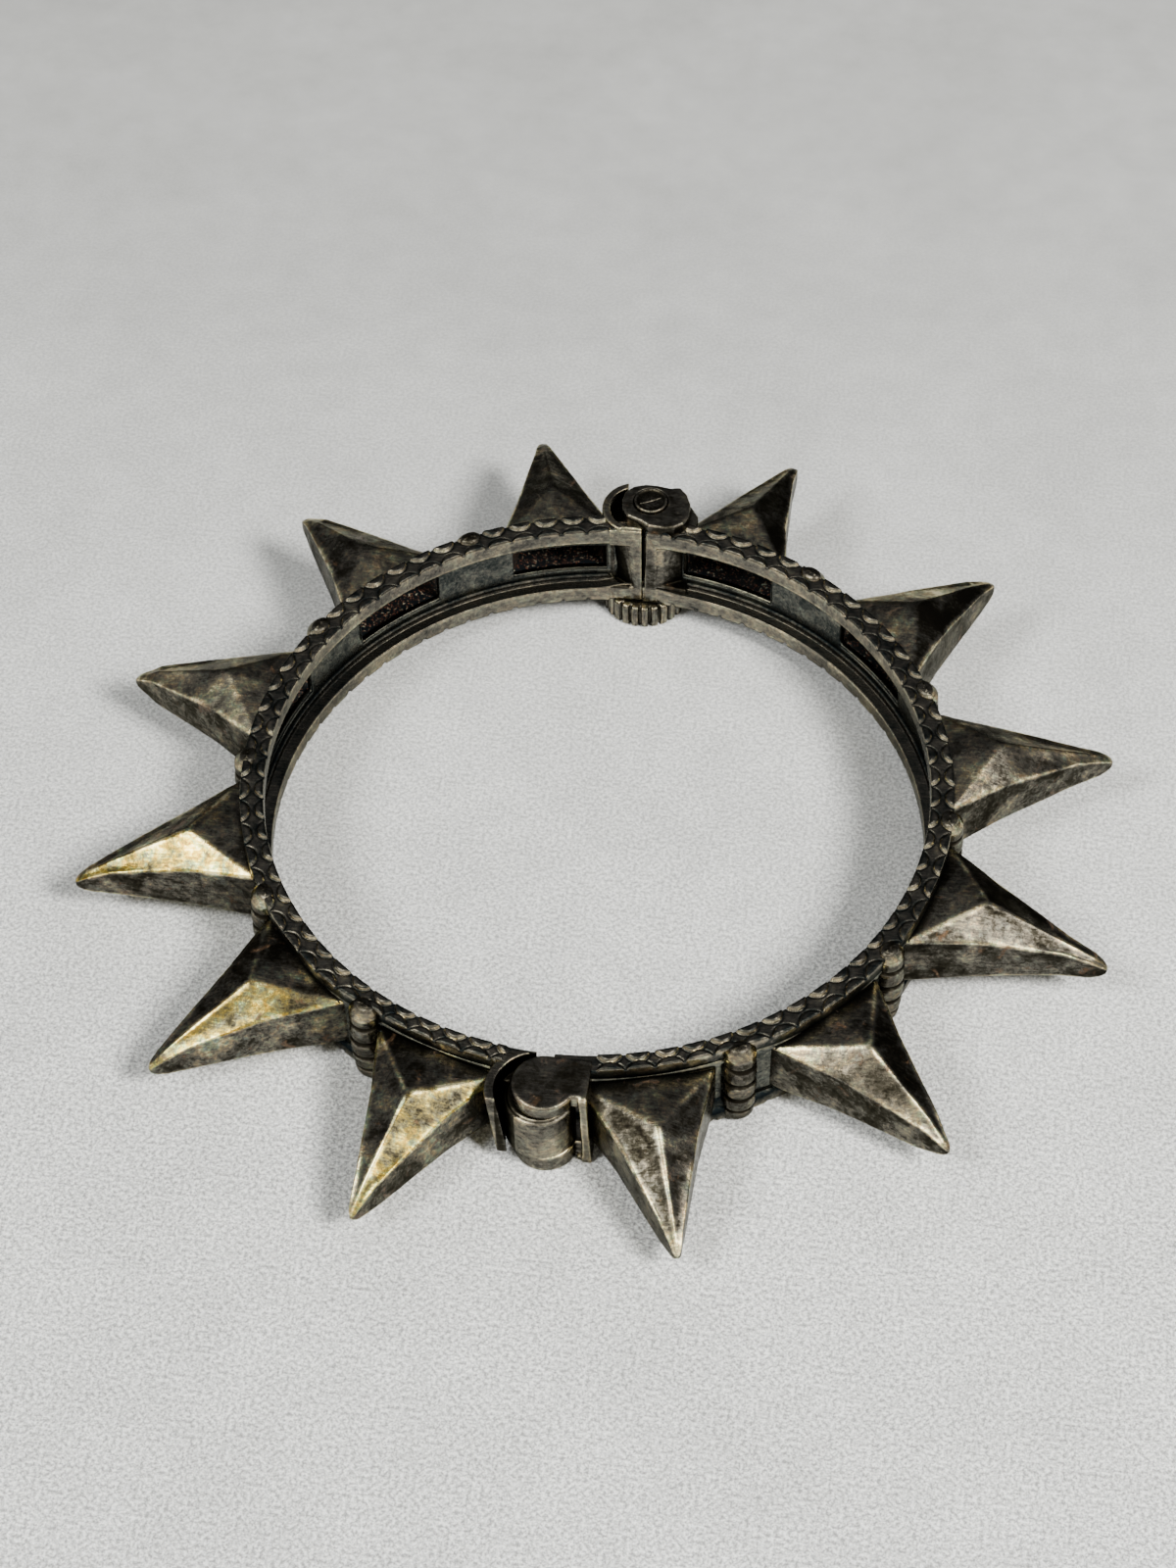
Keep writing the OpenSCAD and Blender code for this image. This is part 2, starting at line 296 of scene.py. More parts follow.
def edge_pairs(faces):
    """Each edge once, as a pair of vertices."""
    pairs = []
    for f in faces:
        for k in range(f.shape[1]):
            pairs.append(np.stack([f[:, k], f[:, (k + 1) % f.shape[1]]], 1))
    e = np.sort(np.concatenate(pairs), 1)
    return np.unique(e, axis=0)


def spread(values, e, count, times):
    """Averages vertex values over their neighbours."""
    degree = np.bincount(e.ravel(), minlength=count).astype(float)
    degree = np.maximum(degree, 1)
    for _ in range(times):
        total = np.bincount(e[:, 0], values[e[:, 1]], count)
        total = total + np.bincount(e[:, 1], values[e[:, 0]], count)
        values = 0.5 * values + 0.5 * total / degree
    return values


def sides_of(faces):
    """The faces without the many-cornered ones that close a tube."""
    return [f for f in faces if f.shape[1] <= 4]


def worn_and_grimy(points, faces, reach):
    """How far each vertex stands proud of its neighbours, and how far it lies below them."""
    e = edge_pairs(sides_of(faces))
    n = vertex_normals(points, sides_of(faces))
    count = len(points)
    blurred = np.stack([spread(points[:, k], e, count, reach) for k in range(3)], 1)
    length = np.linalg.norm(points[e[:, 0]] - points[e[:, 1]], axis=1)
    mean_length = np.maximum(
        (np.bincount(e[:, 0], length, count) + np.bincount(e[:, 1], length, count))
        / np.maximum(np.bincount(e.ravel(), minlength=count), 1), 1e-4)
    hollow = ((blurred - points) * n).sum(1) / mean_length
    hollow = spread(hollow, e, count, 1)
    return np.clip(-hollow, 0, 1), np.clip(hollow, 0, 1)


def store(mesh, label, values):
    """Keeps a value between 0 and 1 at each vertex for the materials."""
    layer_of_values = mesh.attributes.new(label, "FLOAT", "POINT")
    layer_of_values.data.foreach_set("value", np.clip(values, 0, 1).astype(np.float32))


def add_object(name, data):
    obj = bpy.data.objects.new(name, data)
    bpy.context.scene.collection.objects.link(obj)
    return obj


def fill_mesh(mesh, points, faces):
    """Gives an empty mesh its vertices, in millimetres, and faces of any number of corners."""
    loops = np.concatenate([f.reshape(-1) for f in faces])
    totals = np.concatenate([np.full(len(f), f.shape[1]) for f in faces])
    starts = np.concatenate([[0], np.cumsum(totals)[:-1]])
    mesh.vertices.add(len(points))
    mesh.vertices.foreach_set("co", (points * MM).astype(np.float32).ravel())
    mesh.loops.add(len(loops))
    mesh.loops.foreach_set("vertex_index", loops.astype(np.int32))
    mesh.polygons.add(len(totals))
    mesh.polygons.foreach_set("loop_start", starts.astype(np.int32))
    mesh.polygons.foreach_set("loop_total", totals.astype(np.int32))
    mesh.update(calc_edges=True)
    mesh.polygons.foreach_set("use_smooth", np.ones(len(totals), bool))


def make_object(
    name, shell, material, wear_gain=1.0, grime_gain=1.0, level=0.0, rough=0.0, reach=3,
):
    """Turns a Shell into an object, with its shade, wear and grime stored at the vertices.

    The shell is raised to level, roughened by rough, and wears on forms about reach vertices wide.
    """
    points = np.concatenate(shell.points)
    if rough:
        n = vertex_normals(points, sides_of(shell.faces))
        points = points + n * (rough * lumps(points, 1.2, 3))[:, None]
    wear, grime = worn_and_grimy(points, shell.faces, reach)
    raised = points.copy()
    raised[:, 2] += level
    mesh = bpy.data.meshes.new(name)
    fill_mesh(mesh, raised, shell.faces)
    store(mesh, "tone", np.concatenate(shell.tones))
    store(mesh, "wear", wear * wear_gain)
    store(mesh, "grime", grime * grime_gain)
    mesh.materials.append(material)
    mesh.validate()
    return add_object(name, mesh)


def crossing_means(d, step, origin):
    """A vertex for each grid cell that the surface crosses, the mean of its crossings there.

    Also returns the number of each cell's vertex, or -1.
    """
    shape = tuple(s - 1 for s in d.shape)
    total = np.zeros(shape + (3,))
    hits = np.zeros(shape)

    def at(corner):
        return d[tuple(slice(c, c + s) for c, s in zip(corner, shape))]

    for corner in [(i, j, k) for i in (0, 1) for j in (0, 1) for k in (0, 1)]:
        for axis in range(3):
            if corner[axis]:
                continue
            other = list(corner)
            other[axis] = 1
            a, b = at(corner), at(other)
            cross = (a < 0) != (b < 0)
            t = np.where(cross, a / np.where(cross, a - b, 1), 0)
            for m in range(3):
                total[..., m] += np.where(cross, corner[m] + (t if m == axis else 0), 0)
            hits += cross
    active = hits > 0
    index = -np.ones(shape, int)
    index[active] = np.arange(active.sum())
    cell = np.stack(np.nonzero(active), 1)
    return (cell + total[active] / hits[active][:, None]) * step + origin, index


def crossing_quads(inside, index):
    """A quad of the four cells round each grid edge that the surface crosses."""
    quads = []
    for axis in range(3):
        o1, o2 = (axis + 1) % 3, (axis + 2) % 3
        near = [slice(None)] * 3
        far = [slice(None)] * 3
        near[axis] = slice(0, -1)
        far[axis] = slice(1, None)
        a, b = inside[tuple(near)], inside[tuple(far)]
        i = np.stack(np.nonzero(a != b), 1)
        ok = (i[:, o1] > 0) & (i[:, o1] < index.shape[o1])
        ok = ok & (i[:, o2] > 0) & (i[:, o2] < index.shape[o2])
        i = i[ok]
        forward = a[tuple(i.T)]
        around = []
        for e1, e2 in ((1, 1), (0, 1), (0, 0), (1, 0)):
            j = i.copy()
            j[:, o1] -= e1
            j[:, o2] -= e2
            around.append(index[tuple(j.T)])
        q = np.stack(around, 1)
        quads.append(np.where(forward[:, None], q, q[:, ::-1]))
    quads = np.concatenate(quads)
    return quads[(quads >= 0).all(1)]


def surface_of(field, low, high, step):
    """Mesh of a distance field's zero surface in a box, as vertices and quads."""
    axes = [np.arange(a, b + step, step) for a, b in zip(low, high)]
    d = field(np.stack(np.meshgrid(*axes, indexing="ij"), -1))
    points, index = crossing_means(d, step, np.array([a[0] for a in axes]))
    quads = crossing_quads(d < 0, index)
    # draw the vertices onto the surface along the field's slope
    h = step * 0.25
    for _ in range(3):
        value = field(points)
        slope = np.stack([
            (field(points + h * axis) - field(points - h * axis)) / (2 * h) for axis in np.eye(3)
        ], 1)
        steepness = np.maximum((slope * slope).sum(1), 0.3)
        points = points - 0.7 * (value / steepness)[:, None] * slope
    return points, quads


# Distance fields, in millimetres about the middle of the band


def disc(p, centre, r):
    """Distance to a circle seen from above."""
    return np.hypot(p[..., 0] - centre[0], p[..., 1] - centre[1]) - r


def block(p, x0, x1, y0, y1):
    """Distance to a rectangle seen from above."""
    dx = np.abs(p[..., 0] - (x0 + x1) / 2) - (x1 - x0) / 2
    dy = np.abs(p[..., 1] - (y0 + y1) / 2) - (y1 - y0) / 2
    return np.minimum(np.maximum(dx, dy), 0) + np.hypot(np.maximum(dx, 0), np.maximum(dy, 0))


def layer(p, flat, z0, z1, soft=0.18):
    """A flat outline between two levels, with its rims rounded."""
    dz = np.abs(p[..., 2] - (z0 + z1) / 2) - (z1 - z0) / 2
    a, b = flat + soft, dz + soft
    return np.minimum(np.maximum(a, b), 0) + np.hypot(np.maximum(a, 0), np.maximum(b, 0)) - soft


def outside_wrist(p, r):
    """Positive within r of the ring's axis, where no metal may stand."""
    return r - np.hypot(p[..., 0], p[..., 1])


def sideways(p, amount):
    """Points moved to the right, by an amount that may change with their height."""
    return p + np.array([1.0, 0, 0]) * amount


def outline(p, corners):
    """Distance to a closed outline seen from above, negative inside."""
    x, y = p[..., 0], p[..., 1]
    best = np.full(x.shape, 1e9)
    inside = np.zeros(x.shape, bool)
    for (ax, ay), (bx, by) in zip(corners, corners[1:] + corners[:1]):
        ex, ey = bx - ax, by - ay
        t = np.clip(((x - ax) * ex + (y - ay) * ey) / (ex * ex + ey * ey), 0, 1)
        best = np.minimum(best, np.hypot(x - ax - t * ex, y - ay - t * ey))
        crosses = (ay > y) != (by > y)
        inside ^= crosses & (x < ax + (y - ay) * ex / (ey if ey else 1e-9))
    return np.where(inside, -best, best)


def hinge_left_field(p):
    """Rounded guard and middle knuckle of the hinge."""
    # the guard leans to the right on its way down
    q = sideways(p, -0.10 * (4.7 - p[..., 2:3]))
    ring = np.maximum.reduce([disc(q, HINGE_GUARD, 4.45), p[..., 0] + 1.0, -35.25 - p[..., 1]])
    body = layer(p, np.maximum(ring, outside_wrist(p, 30.2)), -3.3, 4.72, 0.15)
    room = np.minimum(disc(q, HINGE_GUARD, 3.6), disc(p, HINGE, 3.0))
    deep = np.maximum(disc(q, HINGE_GUARD, 3.6), 32.4 - np.hypot(p[..., 0], p[..., 1]))
    body = smooth_max(body, -np.maximum(room, 3.1 - p[..., 2]), 0.12)
    body = smooth_max(body, -np.maximum(room, p[..., 2] + 2.35), 0.12)
    body = smooth_max(body, -deep, 0.12)
    barrel_centre = (-0.38, -33.2)
    barrel = layer(p, disc(p, barrel_centre, 3.04), -2.3, 3.0, 0.2)
    step = layer(p, disc(p, barrel_centre, 2.75), -2.2, 3.2, 0.1)
    return smooth_min(body, np.minimum(barrel, step), 0.12)


def hinge_right_field(p):
    """Upper and lower knuckle of the hinge, and the leaning plate that joins them."""
    leaf = np.minimum(disc(p, HINGE, 2.8), block(p, 0.0, 3.75, -34.35, -30.3))
    leaf = np.maximum(leaf, outside_wrist(p, 30.05))
    cap = layer(p, leaf, 3.35, 4.88, 0.36)
    foot = np.minimum(disc(p, HINGE, 2.8), block(p, 0.0, 3.6, -33.9, -30.3))
    foot = layer(p, np.maximum(foot, outside_wrist(p, 30.05)), -4.62, -2.62, 0.15)
    q = sideways(p, 0.03 * (p[..., 2:3] - 4.7))
    plate = layer(p, block(q, 3.12, 3.78, -34.45, -30.6), -4.85, 4.8, 0.14)
    flare = layer(p, block(p, 2.9, 3.9, -34.3, -32.6), -4.85, -4.1, 0.25)
    d = smooth_min(smooth_min(cap, foot, 0.1), plate, 0.2)
    return smooth_min(d, flare, 0.5)


def clasp_left_field(p):
    """Rounded guard, flat end and middle knuckle of the clasp."""
    ring = disc(p, CLASP_GUARD, 3.35)
    guard = np.maximum.reduce([ring, p[..., 0] + 1.75, outside_wrist(p, 30.2)])
    front = np.maximum.reduce([ring, p[..., 0] - 0.22, p[..., 1] - 33.0, outside_wrist(p, 30.3)])
    body = layer(p, np.minimum(guard, front), -4.7, 5.2, 0.16)
    room = np.minimum(disc(p, CLASP_GUARD, 2.6), disc(p, CLASP, 3.0))
    body = smooth_max(body, -np.maximum(room, 3.1 - p[..., 2]), 0.1)
    low_room = np.maximum(disc(p, CLASP, 2.95), p[..., 2] + 2.3)
    body = smooth_max(body, -low_room, 0.1)
    end = np.maximum.reduce([block(p, -2.9, 0.22, 29.9, 31.4), outside_wrist(p, 30.12)])
    end = np.minimum(layer(p, end, -4.7, 4.9, 0.06), body)
    cheek = outline(sideways(p, 0.10 * p[..., 2:3]), LEFT_CHEEK)
    cheek = layer(p, cheek, CHEEK_FLOOR, CHEEK_ROOF, 0.12)
    end = smooth_max(end, -cheek, 0.2)
    knuckle = layer(p, disc(p, CLASP, 2.25), -2.3, 3.1, 0.12)
    d = smooth_min(end, knuckle, 0.1)
    slot = np.maximum(block(p, CLASP[0], 4.0, 31.5, 35.15), np.abs(p[..., 2] - 0.4) - 2.8)
    bore = np.maximum(disc(p, CLASP, 1.7), np.abs(p[..., 2]) - 4.0)
    return np.maximum(d, -np.minimum(slot, bore))


def clasp_right_field(p):
    """Lug, lower knuckle, plate and flat end of the clasp."""
    leaf = np.maximum(outline(p, LUG), outside_wrist(p, 30.2))
    top = layer(p, leaf, 3.35, 5.88, 0.3)
    shelf = layer(p, outline(p, LUG_SHELF), 2.9, 4.75, 0.45)
    lug = np.minimum(disc(p, CLASP, 2.8), block(p, 0.6, 4.6, 30.0, 34.9))
    foot = layer(p, np.maximum(lug, outside_wrist(p, 30.3)), -4.8, -2.6, 0.15)
    plate = layer(p, block(p, 3.7, 4.5, 31.0, 34.4), -4.7, 4.7, 0.1)
    end = outline(sideways(p, -0.03 * (p[..., 2:3] + 4.7)), RIGHT_END)
    end = layer(p, np.maximum(end, outside_wrist(p, 30.08)), -4.75, 4.95, 0.05)
    back = outline(p, RIGHT_END_BACK)
    end = np.minimum(end, layer(p, np.maximum(back, outside_wrist(p, 30.16)), -3.25, 3.25, 0.05))
    cheek = layer(p, outline(p, RIGHT_CHEEK), CHEEK_FLOOR, CHEEK_ROOF, 0.12)
    end = smooth_max(end, -cheek, 0.25)
    plate = np.maximum(plate, -cheek)
    room = np.maximum(disc(p, CLASP, 2.45), np.abs(p[..., 2] - 0.4) - 2.9)
    d = smooth_min(smooth_min(top, foot, 0.1), smooth_min(plate, end, 0.1), 0.12)
    d = smooth_min(d, shelf, 0.15)
    d = np.maximum(d, -room)
    bore = disc(sideways(p, -0.045 * p[..., 2:3]), CLASP, 1.68)
    return smooth_max(d, -np.maximum(bore, p[..., 2] - 9.0), 0.1)


# Pieces


def sizes():
    """The user's sizes in millimetres."""
    s = bpy.context.scene.bangle_sizes
    return {
        "inner": s.inner_d / 2 / MM, "outer": (s.inner_d / 2 + s.flange_w) / MM,
        "half": s.band_h / 2 / MM, "mid": s.mid_z / MM, "reach": s.spike_reach / MM,
        "scallops": s.scallops, "ribs": s.knob_ribs,
    }


def from_clasp(deg, side):
    """Degrees along a half from the clasp."""
    return deg - 90 if side == "left" else 90 - deg


def near_hinge(deg):
    """1 within 27 degrees of the hinge, falling to 0 at 40."""
    return smoothstep(40, 27, np.abs((deg - 270 + 180) % 360 - 180))


def swell(deg, side):
    """How far a flange has grown towards the clasp's end blocks, from 0 to 1."""
    return smoothstep(8.5, 1.5, from_clasp(deg, side))


def relief(r, deg, side, size, top, edge):
    """Height of the scallops over a flange, and the shade of its tops and hollows.

    A scallop is the part of a disc that reaches in from the flange's outer or inner edge.
    """
    pitch = 360 / size["scallops"]
    first, last = RELIEF_ENDS[side]
    turns = (deg - first) / pitch
    inside = smoothstep(0.0, 0.12, turns) * smoothstep(0.0, 0.12, (last - first) / pitch - turns)
    near = (turns - np.floor(turns) - 0.5) * math.radians(pitch)
    x, y = r * np.cos(near), r * np.sin(near)
    wobble = 0.07 * lumps(polar(r, deg, 3.0 if top else -3.0), 1.7, 2)
    # radius of each row's discs, and how far their centres lie past the edge
    outer = 1.2 + wobble - np.hypot(x - (edge + 0.31), y)
    inner = 1.1 + wobble - np.hypot(x - (size["inner"] - 0.24), y)
    depth = np.maximum(outer, inner)
    to_edge = np.where(outer > inner, edge - r, r - size["inner"])
    rim = smoothstep(0.0, 0.07, depth)
    slope = np.clip((depth - 0.05) / 0.27, 0, 1)
    fall = np.clip((to_edge + 0.02) / 0.26, 0, 1)
    dome = np.minimum(np.sin(slope * math.pi / 2), 0.35 + 0.65 * np.sin(fall * math.pi / 2))
    groove = np.exp(-((depth + 0.05) / 0.075) ** 2)
    height = rim * (0.10 + 0.19 * dome) - 0.09 * groove
    # dark grooves; pale rims, partly rubbed wear and partly painted highlight, palest along the
    # flange's edges
    pits = lumps(polar(r, deg, 9.0), 0.5, 2)
    tone = 0.60 + 0.10 * rim * smoothstep(0.25, 0.6, depth) + 0.35 * groove + 0.16 * pits
    tone = tone - 0.50 * rim * (1 - smoothstep(0.05, 0.17, depth))
    tone = tone - 0.20 * rim * (1 - smoothstep(0.04, 0.14, to_edge))
    return height * inside, np.where(inside > 0.5, tone, 0.62 + 0.1 * pits)


# height of the relief, least width of a flange, points along one scallop and across a flange
RELIEF_H = 0.2
LEAST_WIDTH = 0.16
ALONG_SCALLOP = 26
ACROSS_FLANGE = 25


def trimmed_outer(deg, side, size, top):
    """Outer edge of a flange: filed back by the hinge, and cut where a knuckle's pocket lies."""
    filed = 0.52 * near_hinge(deg) if top else 0.0
    out = np.full(len(deg), size["outer"]) - filed
    u = np.stack([np.cos(np.radians(deg)), np.sin(np.radians(deg))], 1)
    for centre, radius in POCKETS[side]:
        along = u @ np.array(centre)
        gap = radius**2 - (centre[0] ** 2 + centre[1] ** 2 - along**2)
        hit = np.where((gap > 0) & (along > 0), along - np.sqrt(np.maximum(gap, 0)), 99)
        out = np.minimum(out, hit)
    return np.maximum(out, size["inner"] + LEAST_WIDTH)


def flange(shell, side, size, top):
    """One flange with its relief, the ledge under it and its face towards the wrist."""
    first, last = BAND_ENDS[side]
    # the right half's end leans away from the left half's
    last -= 0.6 if side == "right" and top else 0.0
    steps = int(round((last - first) / 360 * size["scallops"] * ALONG_SCALLOP))
    deg = np.linspace(first, last, steps + 1)
    grown = swell(deg, side)
    grown_in, grown_up = (0.42, 0.5) if side == "left" else (0.12, 0.3)
    i = size["inner"] + grown_in * grown
    o = np.maximum(trimmed_outer(deg, side, size, top), i + LEAST_WIDTH)
    z_top = size["half"] - RELIEF_H + grown_up * grown
    across = np.linspace(0, 1, ACROSS_FLANGE)
    r = i[:, None] + 0.06 + (o - i - 0.12)[:, None] * across[None, :]
    height, tone = relief(r, deg[:, None], side, size, top, o[:, None])
    height = height + 0.03 * lumps(polar(r, deg[:, None], 5.0), 1.6, 3)
    surface = np.stack([r, z_top[:, None] + height], -1)
    outer_h, inner_h = height[:, -1], height[:, 0]
    # the ledge, as wide as the flange allows, dies out where the end blocks begin
    full = smoothstep(0.3, 1.6, o - i)
    under = 3.16 - 0.3 * grown
    foot = under - 0.05
    ledge_ends = (6.2, 5.0) if side == "left" else (8.6, 8.0)
    ledge = 1 - smoothstep(*ledge_ends, from_clasp(deg, side))

    def clear(gap, radius):
        return np.maximum(radius, i + gap)

    def ledge_z(z):
        return foot + (z - foot) * ledge

    # the lower flange's face and the floor of the channel are painted lighter
    lower_face_lighter, channel_floor_lighter = (0.0, 0.0) if top else (0.05, 0.12)
    # radius, height and shade, from the outer edge down, inwards and up the inner face
    below = [
        (o, z_top - 0.10 + 0.6 * outer_h, 0.6 - 1.5 * np.clip(outer_h, 0, 0.28)),
        (o, z_top - 0.45, 0.66),
        (o, z_top - 0.8, 0.8),
        # near black under the outer edge: partly oxide, partly painted shade under the overhang
        (o, 3.62, 0.9),
        (o - 0.07, 3.52, 0.95),
        (clear(0.1, o - 0.3), 3.40, 0.95),
        (clear(0.1, o - 0.5), 3.3, 0.95),
        (clear(0.1, o - 0.52), ledge_z(2.9), 0.88 - channel_floor_lighter),
        (clear(0.1, o - 0.55), ledge_z(2.35), 0.8 - channel_floor_lighter),
        (clear(0.12, i + 1.12 * full), ledge_z(2.38), 0.72 - channel_floor_lighter),
        (clear(0.11, i + 1.07 * full), ledge_z(2.44), 0.6 - channel_floor_lighter),
        (clear(0.1, i + 1.07 * full), ledge_z(2.7), 0.78 - channel_floor_lighter),
        (clear(0.1, i + 1.06 * full), under - 0.04, 0.86 - channel_floor_lighter),
        (clear(0.09, i + 0.98 * full), under + 0.01, 0.84 - channel_floor_lighter),
        (i + 0.09, under, 0.8 - channel_floor_lighter),
        # a pale line where the inner face meets the channel: painted highlight
        (i + 0.03, under + 0.03, 0.14),
        (i, under + 0.1, 0.2),
        (i, 3.6, 0.51 - lower_face_lighter),
        (i, 4.0, 0.54 - lower_face_lighter),
        (i, 4.4, 0.5 - lower_face_lighter),
        (i, z_top - 0.12 + 0.6 * inner_h, 0.6 - 1.5 * np.clip(inner_h, 0, 0.28)),
    ]
    rest = np.stack([np.stack(np.broadcast_arrays(*row, deg)[:3], -1) for row in below], 1)
    section = np.concatenate([surface, rest[..., :2]], 1)
    tones = np.concatenate([tone, rest[..., 2]], 1)
    points = polar(section[..., 0], deg[:, None], section[..., 1] * (1 if top else -1))
    shell.tube(points, tones, flip=top)


def pierced(shell, r0, r1, columns, rows, solid, tone):
    """A curved wall between two radii, on columns (degrees) and rows (heights).

    It is left open in the cells where solid is false.
    """
    nc, nr = len(columns), len(rows)
    radii = [np.broadcast_to(r, columns.shape)[:, None] for r in (r0, r1)]
    points = np.concatenate([polar(r, columns[:, None], rows[None, :]).reshape(-1, 3) for r in radii])

    def at(c, r, outer):
        return outer * nc * nr + c * nr + r

    c, r = np.nonzero(solid)
    faces = [
        np.stack([at(c, r, 1), at(c + 1, r, 1), at(c + 1, r + 1, 1), at(c, r + 1, 1)], 1),
        np.stack([at(c, r, 0), at(c, r + 1, 0), at(c + 1, r + 1, 0), at(c + 1, r, 0)], 1),
    ]
    # rims where a filled cell has no neighbour
    padded = np.pad(solid, 1)
    for dc, dr in ((-1, 0), (1, 0), (0, -1), (0, 1)):
        free = solid & ~padded[1 + dc:1 + dc + solid.shape[0], 1 + dr:1 + dr + solid.shape[1]]
        c, r = np.nonzero(free)
        c = c + (dc > 0)
        r = r + (dr > 0)
        if dc:
            rim = np.stack([at(c, r, 0), at(c, r, 1), at(c, r + 1, 1), at(c, r + 1, 0)], 1)
        else:
            rim = np.stack([at(c, r, 0), at(c + 1, r, 0), at(c + 1, r, 1), at(c, r, 1)], 1)
        faces.append(rim if dc + dr < 0 else rim[:, ::-1])
    used = np.unique(np.concatenate([f.ravel() for f in faces]))
    renumbered = -np.ones(len(points), int)
    renumbered[used] = np.arange(len(used))
    shell.add(points[used], [renumbered[f] for f in faces], tone)


# columns and row heights of the wall's grid, and its shade
WALL_COLUMNS = 240
WALL_ROWS = (-3.3, -2.6, -2.0, -WINDOW_HALF_H, -0.8, 0, 0.8, WINDOW_HALF_H, 2.0, 2.6, 3.3)
WALL_TONE = 0.64
# width of the lip round a window, beside it and above it, and its shade
LIP_DEG = 0.1
LIP_H = 0.09
LIP_TONE = 0.68


def wall(shell, side):
    """The band's back wall with a window behind each spike and a thin lip round each window."""
    first, last = WALL_ENDS[side]
    roots = [row[0] for row in SPIKES[side]]
    columns = set(np.linspace(first, last, WALL_COLUMNS))
    for a in roots:
        columns.update((a - WINDOW_HALF_DEG, a + WINDOW_HALF_DEG))
    columns = np.array(sorted(c for c in columns if first <= c <= last))
    rows = np.array(WALL_ROWS)
    middle_deg = (columns[1:] + columns[:-1]) / 2
    middle_z = (rows[1:] + rows[:-1]) / 2
    at_window = np.zeros(len(middle_deg), bool)
    for a in roots:
        at_window |= np.abs(middle_deg - a) < WINDOW_HALF_DEG
    solid = ~(at_window[:, None] & (np.abs(middle_z) < WINDOW_HALF_H)[None, :])
    # the wall is thinner by the hinge
    outer = WALL_R[1] - 0.45 * near_hinge(columns)
    pierced(shell, WALL_R[0], outer, columns, rows, solid, WALL_TONE)
    for a in roots:
        a0, a1 = max(a - WINDOW_HALF_DEG, first), min(a + WINDOW_HALF_DEG, last)
        cols = np.concatenate([[a0 - LIP_DEG], np.linspace(a0, a1, 16), [a1 + LIP_DEG]])
        upper = np.array([0.6, WINDOW_HALF_H, WINDOW_HALF_H + LIP_H])
        rs = np.concatenate([-upper[::-1], upper])
        lip = np.ones((len(cols) - 1, len(rs) - 1), bool)
        lip[1:-1, 1:-1] = False
        pierced(shell, WALL_R[0] - 0.03, WALL_R[0] + 0.1, cols, rs, lip, LIP_TONE)


def root_seam(shell, row, side):
    """The thin line of solder where a spike meets the band, above and below."""
    half_deg = 10.2
    first, last = WALL_ENDS[side]
    deg = np.linspace(max(row[0] - half_deg, first + 1), min(row[0] + half_deg, last - 1), 40)
    a = circle(8)
    for up in (1, -1):
        wave = 0.04 * lumps(polar(32.0, deg, up * 4.0), 1.3, 2)
        r = 32.08 + wave[:, None] + 0.08 * np.cos(a)[None, :]
        z = up * (2.92 + wave[:, None] + 0.08 * np.sin(a)[None, :])
        shell.tube(polar(r, deg[:, None], z), 0.88, flip=up > 0)


# points across a spike's upper side and down one of its walls, and stations of its hollow
SPIKE_ACROSS = 46
WALL_DOWN = 17
HOLLOW_ROWS = 12


def spike_section(tip, size):
    """Stations along a spike and, for each, half width, height of the walls and of the ridge."""
    near = ROOT_R + (PEAK_R - ROOT_R) * np.linspace(0, 1, 34)
    far = PEAK_R + (tip - 0.12 - PEAK_R) * (np.linspace(0, 1, 60)[1:]) ** 0.85
    x = np.concatenate([near, far])
    late = size["inner"] + 14.3
    stops = [ROOT_R, PEAK_R, late, tip - 1.3, tip - 0.6, tip - 0.25, tip - 0.1, tip]
    half_w = np.interp(x, stops, [6.0, 3.52, 1.10, 0.66, 0.46, 0.32, 0.21, 0.06])
    wall_z = np.interp(x, stops, [2.9, 2.5, 1.58, 1.02, 0.70, 0.46, 0.30, 0.10])
    ridge_z = np.interp(x, stops[1:], [4.2, 1.9, 1.18, 0.80, 0.52, 0.34, 0.11])
    return x[:, None], half_w[:, None], wall_z[:, None], ridge_z[:, None]


def spike_facets(x, y, half_w, wall_z, ridge_z):
    """Height of a spike's upper side, and what tells its facets apart.

    The facet towards the ring and the two side facets meet at the peak. Returns the height, the
    weight of the stretch beyond the peak, and how far inside the facet towards the ring a point
    lies, which is negative on the side facets.
    """
    ay = np.abs(y)
    before = np.clip((PEAK_R - x) / (PEAK_R - ROOT_R), 0, 1)
    ridge_y = np.maximum(6.0 * before, 1e-3)
    ridge_at = np.where(x < PEAK_R, 2.9 + 1.3 * (1 - before), ridge_z)
    crown = np.where(x < PEAK_R, 3.6 + 0.6 * (1 - before), ridge_z)
    soft_y = np.sqrt(ay**2 + 0.012)
    ring_facet = crown + (ridge_at - crown) * soft_y / np.maximum(ridge_y, 0.4)
    side_w = np.maximum(half_w - ridge_y, 0.12)
    side_facet = ridge_at + (wall_z - ridge_at) * (soft_y - ridge_y) / side_w
    z_near = smooth_min(ring_facet, side_facet, 0.16)
    z_far = ridge_z + (wall_z - ridge_z) * (soft_y - 0.08) / half_w
    # the facets on the way to the tip are slightly hollow
    share = ay / half_w
    hollow = 0.14 * smoothstep(0.3, 1.6, half_w) * smoothstep(PEAK_R, PEAK_R + 3.5, x)
    z_far = z_far - hollow * 4 * share * (1 - share)
    beyond = smoothstep(PEAK_R - 0.25, PEAK_R + 0.25, x)
    return z_near * (1 - beyond) + z_far * beyond, beyond, side_facet - ring_facet


